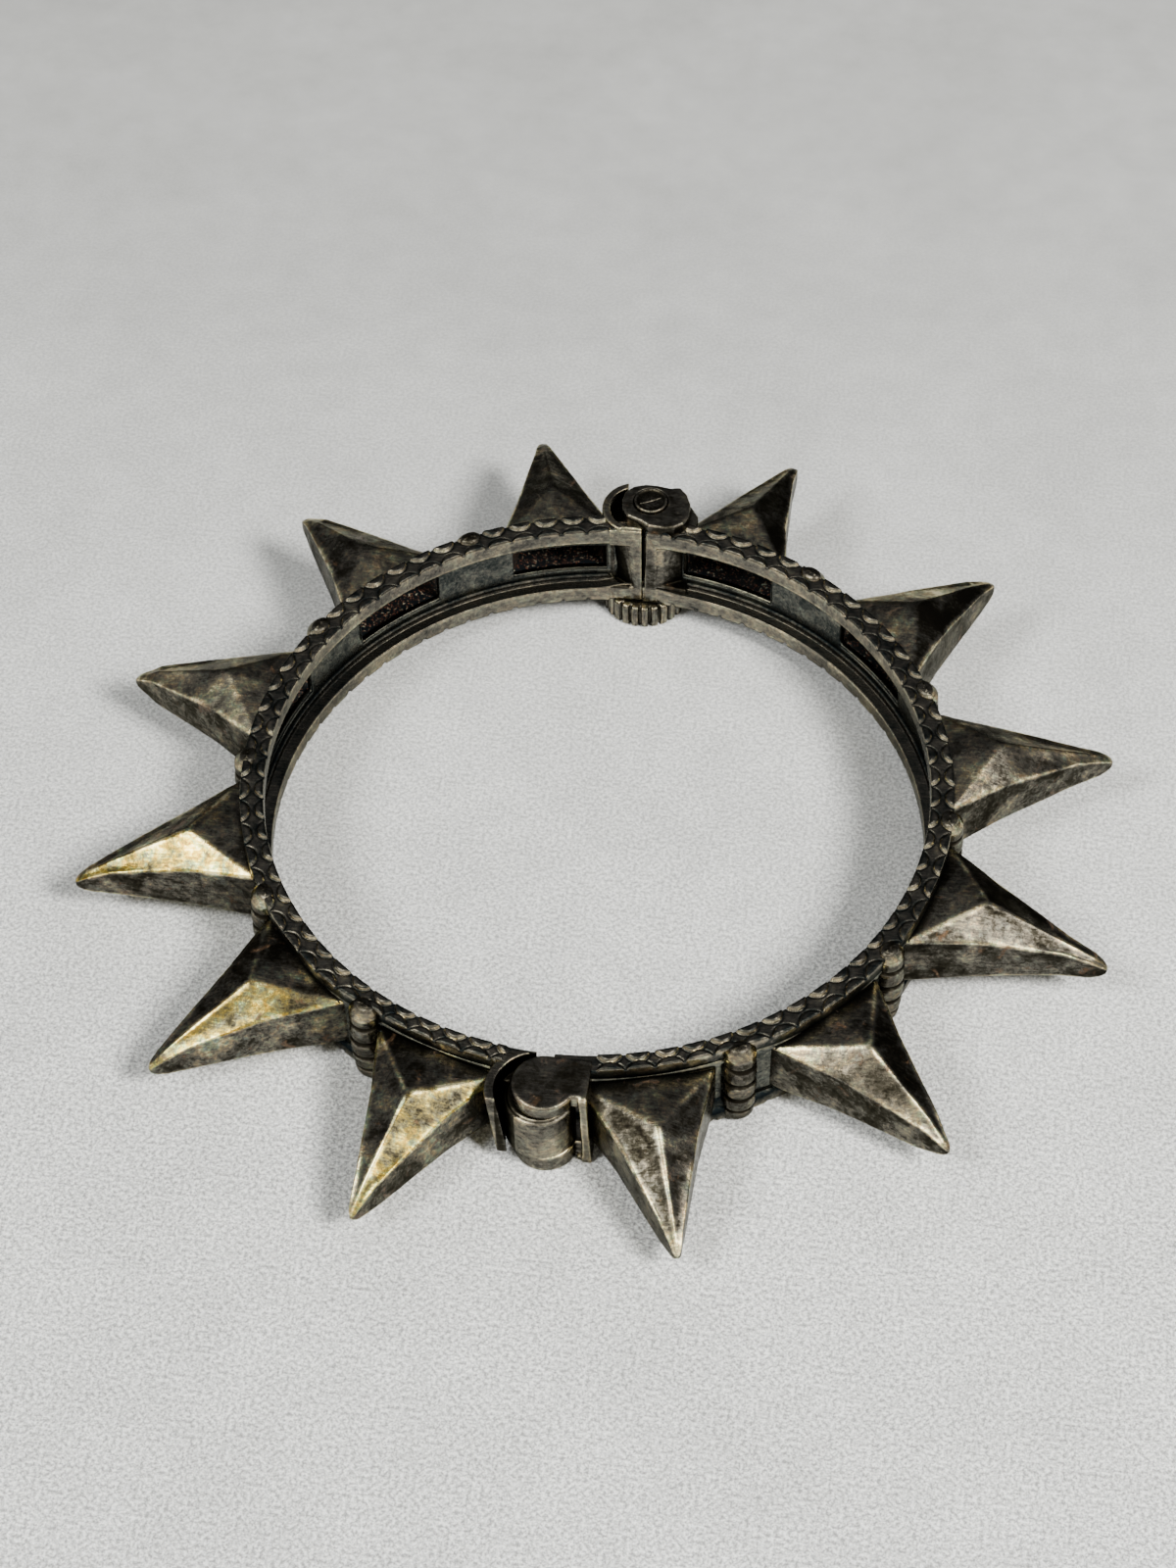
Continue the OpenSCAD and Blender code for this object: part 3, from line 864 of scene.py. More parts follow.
def top_shade(x, y, half_w, beyond, ringward, seed, tones):
    """Shade of a spike's upper side by facet, with ridges worn and painted bright, and its share of
    painted yellow highlight.
    """
    ring_tone, left_tone, right_tone, _, ridge_wear_and_highlight = tones
    facing_ring = smoothstep(-0.25, 0.25, ringward) * (1 - beyond)
    left_side = smoothstep(-0.25, 0.25, y)
    tone = right_tone + (left_tone - right_tone) * left_side
    tone = tone * (1 - facing_ring) + ring_tone * facing_ring
    # pale lines along the walls' upper edges, from the peak to the tip and round the facet to the ring:
    # partly rubbed wear, partly painted highlight
    edge_wear_and_highlight = np.exp(-((half_w - np.abs(y)) / 0.36) ** 2)
    edge_wear_and_highlight = np.maximum(edge_wear_and_highlight, beyond * np.exp(-(np.abs(y) / 0.24) ** 2) * ridge_wear_and_highlight)
    edge_wear_and_highlight = np.maximum(edge_wear_and_highlight, (1 - beyond) * np.exp(-(ringward / 0.12) ** 2) * 0.8 * ridge_wear_and_highlight)
    place = np.stack(np.broadcast_arrays(x, y, 0 * y), -1)
    edge_wear_and_highlight = edge_wear_and_highlight * np.clip(0.9 + 0.9 * lumps(place + seed * 5.1, 1.7, 2), 0.2, 1.2)
    tone = np.minimum(tone - 0.08 * smoothstep(40, 46, x), 0.95)
    tone = tone + (0.04 - tone) * np.clip(edge_wear_and_highlight, 0, 1) * 0.9
    # share of painted yellow highlight: the facets left of the tip that catch the lamp, not the one
    # towards the ring
    return tone, np.broadcast_to(left_side * (1 - facing_ring), tone.shape)


def side_shade(x, z, down, wall_z, seed, wall_tone):
    """Shade of a spike's walls: darker below, stained near the tip, and a pale line on each edge,
    partly rubbed wear, partly painted highlight.
    """
    flat = np.stack(np.broadcast_arrays(x, 0 * z, z), -1)
    tone = wall_tone + 0.14 * lumps(flat + seed * 9.1, 2.2, 3) - 0.05 * down[None, :]
    stained = 0.16 * smoothstep(0.0, 0.5, lumps(flat + seed * 4.3, 3.0, 2))
    tone = tone + stained * smoothstep(39, 43, x)
    line = np.exp(-((wall_z * (1 - np.abs(down[None, :]))) / 0.14) ** 2)
    return tone + (0.12 - tone) * line * 0.8


def round_section(x, top_y, top_z, wall_y, wall_z):
    """Sections of a spike from its upper half: upper side, left wall, lower side, right wall."""
    sides = [
        (top_y, top_z), (wall_y, wall_z), (top_y[:, ::-1], -top_z[:, ::-1]), (-wall_y, -wall_z),
    ]
    return np.concatenate([np.stack([np.broadcast_to(x, y.shape), y, z], -1) for y, z in sides], 1)


def spike_hollow(across, down):
    """Sections of the hollow behind a window, from the root outwards."""
    x = np.linspace(ROOT_R, HOLLOW_R, HOLLOW_ROWS)
    stops = [ROOT_R, 36.8, 42.2, HOLLOW_R]
    half_w = np.interp(x, stops, [4.75, 2.75, 0.85, 0.2])[:, None]
    wall_z = np.interp(x, stops, [1.95, 1.8, 0.95, 0.25])[:, None]
    ridge_z = np.interp(x, stops, [2.45, 3.4, 1.3, 0.3])[:, None]
    top_z = ridge_z + (wall_z - ridge_z) * np.abs(across)[None, :]
    wall_y = np.broadcast_to(half_w, (HOLLOW_ROWS, WALL_DOWN))
    return round_section(x[:, None], half_w * across[None, :], top_z, wall_y, wall_z * down[None, :])


def dented(points, seed):
    """A spike's outside with dents of three sizes, and none where it meets the band."""
    dents = 0.05 * lumps(points * np.array([0.8, 1, 1]) + seed * 7.7, 2.6, 2)
    dents += 0.022 * lumps(points + seed * 3.1, 0.8, 2)
    dents += 0.008 * lumps(points + seed * 1.3, 0.33, 2)
    hold = smoothstep(32.2, 33.5, points[..., 0])
    n = np.stack([np.zeros(points.shape[:2]), points[..., 1] * 0.4, points[..., 2]], -1)
    n /= np.maximum(np.linalg.norm(n, axis=-1, keepdims=True), 1e-6)
    return points + n * (dents * hold)[..., None]


def spike(shell, row, size, seed, tones):
    """A hollow faceted spike: three facets above, three below and two side walls.

    Returns how much of the painted yellow highlight each vertex takes.
    """
    root_deg, tip_deg, extra = row
    tip = size["inner"] + size["reach"] + extra
    x, half_w, wall_z, ridge_z = spike_section(tip, size)
    across = np.linspace(-1, 1, SPIKE_ACROSS)
    down = np.sin(np.linspace(1, -1, WALL_DOWN + 2)[1:-1] * math.pi / 2)
    y = half_w * across[None, :]
    z, beyond, ringward = spike_facets(x, y, half_w, wall_z, ridge_z)
    wall_y = np.broadcast_to(half_w, (len(x), WALL_DOWN))
    side_z = wall_z * down[None, :]
    loop = round_section(x, y, z, wall_y, side_z)
    top_tone, lit_facet_share = top_shade(x, y, half_w, beyond, ringward, seed, tones)
    side_tone = side_shade(x, side_z, down, wall_z, seed, tones[3])
    tone = np.concatenate([top_tone, side_tone, top_tone[:, ::-1], side_tone], 1)
    lit_facet_share = np.concatenate([lit_facet_share, 0 * side_tone, lit_facet_share[:, ::-1], 0 * side_tone], 1)
    # soften the edges round each section
    for _ in range(5):
        loop = 0.5 * loop + 0.25 * (np.roll(loop, 1, 1) + np.roll(loop, -1, 1))
    # blunt end
    centre = loop[-1].mean(0)
    cap = []
    for s in np.radians([25, 50, 72]):
        ring = centre + (loop[-1] - centre) * math.cos(s)
        ring[:, 0] = loop[-1][:, 0] + 0.1 * math.sin(s)
        cap.append(ring)
    outer = dented(np.concatenate([loop, np.array(cap)], 0), seed)
    inner = spike_hollow(across, down)
    both = np.concatenate([inner[::-1], outer], 0)
    # the hollow behind the window is black, partly its oxide and crust, partly painted shade for the
    # dark inside it
    tone = np.concatenate([np.full(inner.shape[:2], 1.0), tone, np.repeat(tone[-1:], len(cap), 0)], 0)
    lit_facet_share = np.concatenate([np.zeros(inner.shape[:2]), lit_facet_share, np.repeat(lit_facet_share[-1:], len(cap), 0)], 0)
    # the tip hangs a little
    fall = np.clip((both[..., 0] - 36) / (tip - 36), 0, 1)
    both[..., 2] -= 0.65 * fall**1.5
    # the root follows the band's wall
    shift = np.sqrt(np.maximum(31.6**2 - both[..., 1] ** 2, 0)) - ROOT_R
    both[..., 0] += shift * (1 - smoothstep(ROOT_R, ROOT_R + 2.5, both[..., 0]))
    swing = tip * math.sin(math.radians(tip_deg - root_deg))
    both[..., 1] += swing * (both[..., 0] - 31) / (tip - 31)
    shell.tube(turn(both, root_deg), tone)
    return lit_facet_share.ravel()


def keep_clear(shell, side):
    """Moves root vertices that would stand in a knuckle's room into the metal beside it."""
    rooms = ((HINGE_GUARD, 4.0), (CLASP_GUARD, 3.0), (CLASP, 3.2))
    hinge_plate_x, clasp_plate_x = 3.3, 4.1
    for k, p in enumerate(shell.points):
        p = p.copy()
        if side == "right":
            p[:, 0] = np.where(p[:, 1] < -31, np.maximum(p[:, 0], hinge_plate_x), p[:, 0])
            p[:, 0] = np.where(p[:, 1] > 31, np.maximum(p[:, 0], clasp_plate_x), p[:, 0])
        else:
            for centre, radius in rooms:
                d = p[:, :2] - np.array(centre)
                dist = np.maximum(np.linalg.norm(d, axis=1), 1e-6)
                push = (dist < radius)[:, None]
                p[:, :2] = np.where(push, np.array(centre) + d / dist[:, None] * radius, p[:, :2])
        shell.points[k] = p


# heights between a post's rings, stations down each ring and points round the post
POST_RINGS = (4.72, 2.9, 0.75, -1.4, -3.3, -4.72)
DOWN_RING = 14
ROUND_POST = 56
# height, inset and shade of a post's domed head and of its foot
POST_HEAD = [
    (5.08, 1.5, 0.8), (5.07, 1.1, 0.8), (5.02, 0.75, 0.78), (4.93, 0.52, 0.72), (4.83, 0.44, 0.6),
]
POST_FOOT = [(-4.74, 0.4, 0.7), (-4.75, 0.8, 0.8), (-4.75, 1.4, 0.8)]


def post(shell, deg, seed):
    """A post of five rounded rings, bowed a little outwards, with a domed head."""
    stations = []
    for high, low in zip(POST_RINGS[:-1], POST_RINGS[1:]):
        for k in range(DOWN_RING):
            t = (k + 0.5) / DOWN_RING
            edge = min(t, 1 - t)
            inset = 0.30 * (1 - min(edge / 0.18, 1)) ** 1.4 + 0.10 * (1 - min(edge / 0.5, 1)) ** 2
            # dark between the rings
            stations.append((high + (low - high) * t, inset, 0.99 if edge < 0.11 else 0.62))
    stations = np.array(stations)
    # the uppermost ring runs into the head
    stations[:4, 1] = (0.36, 0.24, 0.16, 0.11)
    stations[:6, 2] = 0.42
    z, inset, shade = np.concatenate([POST_HEAD, stations, POST_FOOT]).T
    a = circle(ROUND_POST)
    bow = (np.clip(z, -4.75, 4.75) / 4.75) ** 2
    side = 1.52 - 0.10 * bow - inset
    out = 1.50 - 0.34 * bow - inset
    wobble = 0.035 * lumps(np.stack(np.broadcast_arrays(z, seed * 3.3, 0.0), -1), 1.4, 2)
    x = 31.8 + (out + wobble)[:, None] * np.cos(a)[None, :]
    y = np.maximum(side + wobble, 0.02)[:, None] * np.sin(a)[None, :]
    # the back stays inside the band's wall and never shows in the channel
    x = np.where(np.abs(z)[:, None] < 3.25, np.maximum(x, 31.62), x)
    wavy_z = z[:, None] + 0.05 * np.sin(a + seed)[None, :] * (np.abs(z) < 4.6)[:, None]
    points = turn(np.stack([x, y, wavy_z], -1), deg)
    shell.tube(points, np.repeat(shade[:, None], ROUND_POST, 1), flip=True)


# levels of the knob's outline above its foot, and how far it is drawn in there
KNOB_LEVELS = [0.0, 0.0, 0.06, 0.16, 0.3, 0.9, 1.5, 2.1, 2.42, 2.56, 2.66, 2.7, 2.7]
KNOB_INSETS = [1.6, 0.42, 0.2, 0.06, 0, 0, 0, 0, 0, 0.06, 0.2, 0.42, 1.6]
# how far the screw's end stands above the flanges
SCREW_ABOVE = 1.2


def knob(shell, ribs):
    """The ribbed knob, with dark valleys between its ribs."""
    a = circle(ribs * 16)
    rib = smoothstep(-0.75, -0.25, np.cos(a * ribs))
    rings = []
    tones = []
    for z, inset in zip(KNOB_LEVELS, KNOB_INSETS):
        r = 4.22 - inset - 0.36 * (1 - rib) * smoothstep(1.0, 0.3, np.full(len(a), inset))
        rings.append(np.stack([r * np.cos(a), r * np.sin(a), np.full(len(a), z)], -1))
        tones.append(np.where(rib > 0.6, 0.58, 0.92) if inset < 0.5 else np.full(len(a), 0.85))
    shell.tube(np.array(rings) + np.array([CLASP[0] - 0.3, CLASP[1] - 0.15, 0]), np.array(tones))


def stem(shell, top):
    """The screw's pin, with a groove round its upper end."""
    a = circle(72)
    lean = (SCREW_END[0] - CLASP[0], SCREW_END[1] - CLASP[1])
    # radius, height and shade
    profile = [
        (1.5, 2.0, 0.8), (1.5, 6.0, 0.8), (1.6, top - 1.2, 0.8), (1.62, top - 0.22, 0.66),
        (1.60, top - 0.08, 0.62), (1.53, top, 0.66), (1.42, top + 0.02, 0.7), (1.34, top - 0.03, 0.8),
        (1.26, top - 0.12, 0.9), (1.15, top - 0.13, 0.85), (0.85, top - 0.11, 0.8),
        (0.5, top - 0.1, 0.78), (0.15, top - 0.1, 0.78),
    ]
    rings = []
    for r, z, _ in profile:
        share = smoothstep(6.0, top - 1.2, z)
        x = CLASP[0] + lean[0] * share + r * np.cos(a)
        y = CLASP[1] + lean[1] * share + r * np.sin(a)
        rings.append(np.stack([x, y, np.full(len(a), z)], -1))
    shell.tube(np.array(rings), np.array([np.full(len(a), tone) for _, _, tone in profile]))


def end_bar(shell, top):
    """The raised bar across the screw's end."""
    along = np.linspace(-1.18, 1.18, 15)
    a = circle(10)
    thick = np.sqrt(np.clip(1 - (along / 1.25) ** 2, 0.05, 1))
    u = np.broadcast_to(along[:, None], (len(along), len(a)))
    v = 0.2 * thick[:, None] * np.cos(a)[None, :]
    tilt = math.radians(28)
    x = SCREW_END[0] + u * math.cos(tilt) - v * math.sin(tilt)
    y = SCREW_END[1] + u * math.sin(tilt) + v * math.cos(tilt)
    shell.tube(np.stack([x, y, top - 0.1 + 0.09 * thick[:, None] * np.sin(a)[None, :]], -1), 0.72)


def clasp_screw(size):
    shell = Shell()
    top = size["mid"] + size["half"] + SCREW_ABOVE
    knob(shell, size["ribs"])
    stem(shell, top)
    end_bar(shell, top)
    return shell


# radius and height of the hinge pin's outline
PIN_PROFILE = [
    (0.6, 3.0), (0.92, 3.02), (1.0, 3.12), (1.0, 7.0), (1.0, 11.7), (0.9, 11.85), (0.4, 11.88),
]


def hinge_pin():
    shell = Shell()
    a = circle(48)
    shell.tube(np.array([
        np.stack([r * np.cos(a), r * np.sin(a) + HINGE[1], np.full(len(a), z)], -1)
        for r, z in PIN_PROFILE
    ]), 0.6)
    return shell


# Materials


class Nodes:
    """Small helper that lays out shader nodes from left to right."""

    def __init__(self, tree):
        tree.nodes.clear()
        self.tree = tree
        self.x = -1400

    def new(self, kind, **values):
        node = self.tree.nodes.new(kind)
        node.location = (self.x, 0)
        self.x += 60
        for key, value in values.items():
            setattr(node, key, value)
        return node

    def link(self, a, b):
        self.tree.links.new(a, b)

    def put(self, value, socket):
        """Sets a socket to a plain value or links it to another socket."""
        if isinstance(value, (int, float, tuple)):
            socket.default_value = value
        else:
            self.link(value, socket)

    def math(self, op, a, b=0.0, clamp=False):
        node = self.new("ShaderNodeMath", operation=op, use_clamp=clamp)
        self.put(a, node.inputs[0])
        self.put(b, node.inputs[1])
        return node.outputs[0]

    def noise(self, vector, scale, detail=4, rough=0.55, distortion=0.0):
        node = self.new("ShaderNodeTexNoise")
        self.link(vector, node.inputs["Vector"])
        node.inputs["Scale"].default_value = scale
        node.inputs["Detail"].default_value = detail
        node.inputs["Roughness"].default_value = rough
        node.inputs["Distortion"].default_value = distortion
        return node.outputs["Fac"]

    def ramp(self, value, stops):
        """Colours by value. A plain number stands for a grey."""
        node = self.new("ShaderNodeValToRGB")
        self.link(value, node.inputs[0])
        elements = node.color_ramp.elements
        while len(elements) < len(stops):
            elements.new(0.5)
        for item, (position, colour) in zip(elements, stops):
            item.position = position
            item.color = (*colour, 1) if isinstance(colour, tuple) else (colour, colour, colour, 1)
        return node.outputs[0]

    def mix(self, factor, a, b, blend="MIX"):
        node = self.new("ShaderNodeMix", data_type="RGBA", blend_type=blend)
        self.put(factor, node.inputs[0])
        self.put(a, node.inputs[6])
        self.put(b, node.inputs[7])
        return node.outputs[2]

    def attribute(self, name):
        return self.new("ShaderNodeAttribute", attribute_name=name).outputs["Fac"]

    def show(self, shader, output="ShaderNodeOutputMaterial"):
        self.link(shader.outputs[0], self.new(output).inputs[0])


def rubbing_marks(n, where, brushed):
    """Fine marks in two directions, or along the piece where it is brushed."""
    marks = []
    for spin, squeeze in ((0.9, 0.10), (-0.45, 0.14)):
        stretch = n.new("ShaderNodeMapping")
        n.link(where, stretch.inputs["Vector"])
        stretch.inputs["Scale"].default_value = (1.0, 1.0, 0.08) if brushed else (squeeze, 1.0, 0.5)
        stretch.inputs["Rotation"].default_value = (0, 0, 0) if brushed else (0.2, 0.3, spin)
        marks.append(n.noise(stretch.outputs[0], 6000, 3, 0.6))
    return n.math("MULTIPLY", n.math("ADD", marks[0], marks[1]), 0.5)


def oxidised(n, dark, cold):
    """Colour of the bare metal, from bright silver to black oxide."""
    finish = bpy.context.scene.bangle_finish
    return n.ramp(dark, [
        (0.0, tuple(finish.bright)),
        (0.16, (0.52, 0.465, 0.33)),
        (0.32, (0.275, 0.247, 0.19)),
        (0.48, (0.148, 0.137, 0.117)),
        (0.62, (0.081, 0.076, 0.068)),
        (0.80, (0.028, 0.031, 0.030) if cold else (0.032, 0.030, 0.024)),
        (0.90, (0.015, 0.018, 0.018) if cold else (0.020, 0.018, 0.014)),
        (1.0, (0.006, 0.009, 0.012) if cold else tuple(finish.oxide)),
    ])


def filmed(n, colour, dark, film, tint):
    """Thin films of colour, strongest on metal that is neither bright nor black."""
    hues = n.ramp(film, [
        (0.30, (0.50, 0.66, 0.95)), (0.38, (0.50, 0.92, 0.86)), (0.44, (0.82, 1.0, 0.62)),
        (0.50, (1.0, 0.98, 0.90)), (0.56, (1.0, 0.86, 0.42)), (0.62, (1.0, 0.70, 0.52)),
        (0.70, (0.74, 0.62, 0.40)),
    ])
    strength = n.ramp(dark, [(0.0, 0.15), (0.18, 1), (0.36, 0.9), (0.50, 0.4), (0.7, 0.08)])
    return n.mix(n.math("MULTIPLY", strength, tint), colour, hues, "MULTIPLY")


def yellow_on_lit_facets(n, colour, dark, film, lit_yellow):
    """Yellow painted in patches on the facets that catch the lamp, as the colour of their highlight."""
    yellow = n.ramp(dark, [(0.0, 0.6), (0.12, 1), (0.5, 0.85), (0.7, 0.5), (0.9, 0.1)])
    yellow = n.math("MULTIPLY", yellow, n.ramp(film, [(0.40, 0.45), (0.54, 1)]))
    yellow = n.math("MULTIPLY", yellow, n.math("MULTIPLY", n.attribute("lit_facet_yellow"), lit_yellow))
    return n.mix(yellow, colour, (1.0, 0.90, 0.28, 1), "MULTIPLY")


def stained(n, colour, where, tone, fleck, stain):
    """Brown spots, duller than the metal. Returns the colour and how metallic it is."""
    spots = n.noise(where, 520, 5, 0.62, 0.8)
    brown = n.ramp(spots, [(0.60, 0), (0.68, stain)])
    brown = n.math("MULTIPLY", brown, n.ramp(tone, [(0.84, 1), (0.92, 0)]))
    colour = n.mix(brown, colour, n.ramp(fleck, [
        (0.35, (0.030, 0.016, 0.008)), (0.6, (0.11, 0.06, 0.03)), (0.75, (0.26, 0.18, 0.11)),
    ]))
    return colour, n.math("SUBTRACT", 1.0, n.math("MULTIPLY", brown, 0.5))


def with_crust(n, colour, metal, where, tone):
    """Crumbs of red, green and pale earth in the hollows behind the windows."""
    crust = n.ramp(tone, [(0.97, 0), (0.99, 1)])
    crumbs = n.noise(where, 4200, 2, 0.6)
    colour = n.mix(crust, colour, n.ramp(crumbs, [
        (0.58, (0.003, 0.005, 0.006)), (0.63, (0.24, 0.085, 0.045)), (0.67, (0.05, 0.17, 0.13)),
        (0.76, (0.50, 0.43, 0.32)),
    ]))
    return colour, n.math("SUBTRACT", metal, crust, clamp=True)


def silver(
    name, mottle=1.0, tint=0.6, brushed=0.0, cold=False, blue=0.0, stain=0.0, crusted=False, lit_yellow=0.0,
):
    """Old silver: bright where worn, olive to black with oxide, with thin films of colour.

    mottle, tint, brushed, blue and stain are the strengths of the uneven oxide, the films of colour,
    the brush marks, a bluish cast and the brown spots; the last strength is that of the yellow painted
    on lamp-lit facets as highlight colour. Cold metal has bluish hollows, and crusted metal has earth
    in the hollows behind the windows.
    """
    material = bpy.data.materials.new(name)
    material.use_nodes = True
    n = Nodes(material.node_tree)
    # shade, wear and grime come from the vertices, the rest is noise of several sizes
    where = n.new("ShaderNodeTexCoord").outputs["Object"]
    tone, wear, grime = n.attribute("tone"), n.attribute("wear"), n.attribute("grime")
    broad = n.noise(where, 300, 4, 0.6, 0.5)
    patch = n.noise(where, 1100, 5, 0.65, 0.3)
    fleck = n.noise(where, 3200, 3, 0.6, 0.6)
    grain = n.noise(where, 9000, 3, 0.7)
    film = n.noise(where, 800, 4, 0.7, 1.2)
    marks = rubbing_marks(n, where, brushed)
    dark = tone
    for texture, weight in (
        (broad, 1.1 * mottle), (patch, 0.55 * mottle), (fleck, 0.48 * mottle), (grain, 0.30),
        (marks, 0.85 + brushed),
    ):
        dark = n.math("ADD", dark, n.math("MULTIPLY", n.math("SUBTRACT", texture, 0.5), weight))
    dark = n.math("SUBTRACT", dark, n.math("MULTIPLY", wear, n.math("ADD", patch, 0.5)))
    dark = n.math("ADD", dark, n.math("MULTIPLY", grime, 0.8), clamp=True)
    colour = filmed(n, oxidised(n, dark, cold), dark, film, tint)
    # painted highlight colour: yellow on the lamp-lit facets
    if lit_yellow:
        colour = yellow_on_lit_facets(n, colour, dark, film, lit_yellow)
    if blue:
        colour = n.mix(blue, colour, (0.78, 0.97, 1.05, 1), "MULTIPLY")
    metal = 1.0
    if stain:
        colour, metal = stained(n, colour, where, tone, fleck, stain)
    if crusted:
        colour, metal = with_crust(n, colour, metal, where, tone)
    height = n.math("ADD", n.math("MULTIPLY", patch, 0.22), n.math("MULTIPLY", fleck, 0.10))
    height = n.math("ADD", height, n.math("MULTIPLY", marks, 0.12))
    height = n.math("ADD", height, n.math("MULTIPLY", grain, 0.03))
    bump = n.new("ShaderNodeBump")
    bump.inputs["Strength"].default_value = 0.8
    bump.inputs["Distance"].default_value = 0.0001
    n.link(height, bump.inputs["Height"])
    shader = n.new("ShaderNodeBsdfPrincipled")
    n.put(metal, shader.inputs["Metallic"])
    n.link(colour, shader.inputs["Base Color"])
    rough = n.ramp(dark, [(0.0, 0.15), (0.35, 0.19), (0.65, 0.26), (1.0, 0.42)])
    n.link(rough, shader.inputs["Roughness"])
    n.link(bump.outputs[0], shader.inputs["Normal"])
    shader.inputs["Specular Tint"].default_value = (0.55, 0.55, 0.52, 1)
    n.show(shader)
    return material


# strengths of each kind of silver, for silver()
METALS = {
    "flange_silver": {"mottle": 0.7, "tint": 0.35, "cold": True},
    "wall_silver": {"mottle": 0.8, "tint": 0.5, "cold": True, "blue": 0.45},
    "spike_silver": {"mottle": 1.35, "stain": 0.8, "crusted": True},
    # the spikes whose lamp-lit facets carry the painted yellow highlight
    "spike_lit_yellow": {"mottle": 1.5, "tint": 0.8, "stain": 0.8, "crusted": True, "lit_yellow": 1.0},
    "post_silver": {},
    "joint_silver": {"tint": 0.4, "stain": 0.6},
    "screw_silver": {"tint": 0.4, "brushed": 0.25},
}


def material_named(name):
    """The material, made the first time that it is asked for."""
    return bpy.data.materials.get(name) or silver(name, **METALS[name])


def paper():
    """Pale speckled floor, with painted shade darkening it towards the back."""
    material = bpy.data.materials.new("pale_floor")
    material.use_nodes = True
    n = Nodes(material.node_tree)
    where = n.new("ShaderNodeTexCoord").outputs["Object"]
    base = tuple(bpy.context.scene.bangle_finish.floor)
    dark = tuple(c * 0.93 for c in base)
    light = tuple(min(c * 1.05, 1) for c in base)
    colour = n.ramp(n.noise(where, 60, 4, 0.6), [(0.35, dark), (0.65, light)])
    cloud = n.ramp(n.noise(where, 260, 4, 0.6), [(0.3, 0.93), (0.7, 1.05)])
    colour = n.mix(1.0, colour, cloud, "MULTIPLY")
    # the grain of the paper softens towards the back
    split = n.new("ShaderNodeSeparateXYZ")
    n.link(where, split.inputs[0])
    close = n.math("SUBTRACT", 0.75, n.math("MULTIPLY", split.outputs["Y"], 7.0), clamp=True)
    speck = n.ramp(n.noise(where, 2900, 4, 0.8), [(0.40, 0.45), (0.60, (1.55, 1.55, 1.54))])
    colour = n.mix(close, colour, n.mix(1.0, colour, speck, "MULTIPLY"))
    # painted shade: the floor grows darker towards the back, where less light falls
    painted_falloff = n.math("ADD", n.math("MULTIPLY", split.outputs["Y"], 5.0), 0.5)
    colour = n.mix(1.0, colour, n.ramp(painted_falloff, [(0.6, 1), (0.9, 0.82)]), "MULTIPLY")
    shader = n.new("ShaderNodeBsdfPrincipled")
    shader.inputs["Roughness"].default_value = 0.85
    n.link(colour, shader.inputs["Base Color"])
    n.show(shader)
    return material


def settle(obj, half, slot_name, *nodes):
    """A piece rides on its half of the bangle and stands for that half's solid."""
    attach(obj, half)
    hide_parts(*nodes)
    return obj


# Operators

# camera fitted to the ring: focal length in pixels of an image 1600 high, elevation, distance,
# roll, offset across the floor, turn of the ring and height looked at
CAM_F = 3242.77
IMAGE_LONG = 1600
SENSOR = 36
CAM_EL = 51.384
CAM_DIST = 292.07
CAM_ROLL = -1.289
CAM_SHIFT = (0.805, -3.187)
CAM_TURN = -8.862
CAM_LEVEL = 7.45
# The floor rises from the knob's foot, 29.4 mm behind the ring's axis, to the band's lower edge by
# the hinge, 2.85 mm over 62 mm, and lies just under both. Its half width is in metres.
FLOOR_HALF = 1.2
FLOOR_RISE = 2.85
FLOOR_RUN = 62.0
FLOOR_FROM = 29.4
FLOOR_GAP = 0.01
# place and width in metres, power in watts, colour, and whether the lamp shows in the metal only
# or lights the floor only and casts the shadows
LAMPS = {
    "key_right": ((0.30, -0.13, 0.54), 0.34, 1.9, (1.0, 0.94, 0.82), True),
    "key_left": ((-0.25, -0.15, 0.56), 0.34, 2.8, (1.0, 0.96, 0.80), True),
    "shade_right": ((0.33, -0.22, 0.45), 0.15, 7.0, (1.0, 0.99, 0.97), False),
    "shade_left": ((-0.30, -0.26, 0.48), 0.16, 3.1, (0.98, 0.99, 1.0), False),
    "fill_front": ((0.05, -0.45, 0.42), 0.50, 0.2, (1.0, 0.99, 0.97), False),
}
# brightness of the room from behind the bangle, where it is dark, to the ceiling in front of it
ROOM = [
    (0.0, 0.03), (0.1, 0.07), (0.2, 0.11), (0.35, 0.17), (0.45, 0.22), (0.55, (0.36, 0.36, 0.34)),
    (0.65, (0.60, 0.57, 0.50)), (0.75, (0.85, 0.79, 0.64)), (0.9, (0.9, 0.84, 0.68)),
    (1.0, (0.7, 0.67, 0.6)),
]


def camera_place():
    """The camera's matrix, worked out beside the ring and then turned with it."""
    el, roll = math.radians(CAM_EL), math.radians(CAM_ROLL)
    back = Vector((0, -math.cos(el), math.sin(el)))
    level_right = Vector((1, 0, 0))
    level_up = back.cross(level_right)
    right = level_right * math.cos(roll) + level_up * math.sin(roll)
    up = -level_right * math.sin(roll) + level_up * math.cos(roll)
    place = back * CAM_DIST - Vector((CAM_SHIFT[0], CAM_SHIFT[1], 0))
    spin = Matrix.Rotation(math.radians(-CAM_TURN), 3, "Z")
    matrix = Matrix([spin @ v for v in (right, up, back)]).transposed().to_4x4()
    matrix.translation = (spin @ place + Vector((0, 0, CAM_LEVEL))) * MM
    return matrix


def add_camera(scene):
    data = bpy.data.cameras.new("camera")
    data.sensor_fit = "AUTO"
    data.sensor_width = SENSOR
    data.lens = CAM_F / IMAGE_LONG * SENSOR
    data.clip_start = 0.01
    data.clip_end = 5
    scene.camera = add_object("camera", data)
    scene.camera.matrix_world = camera_place()


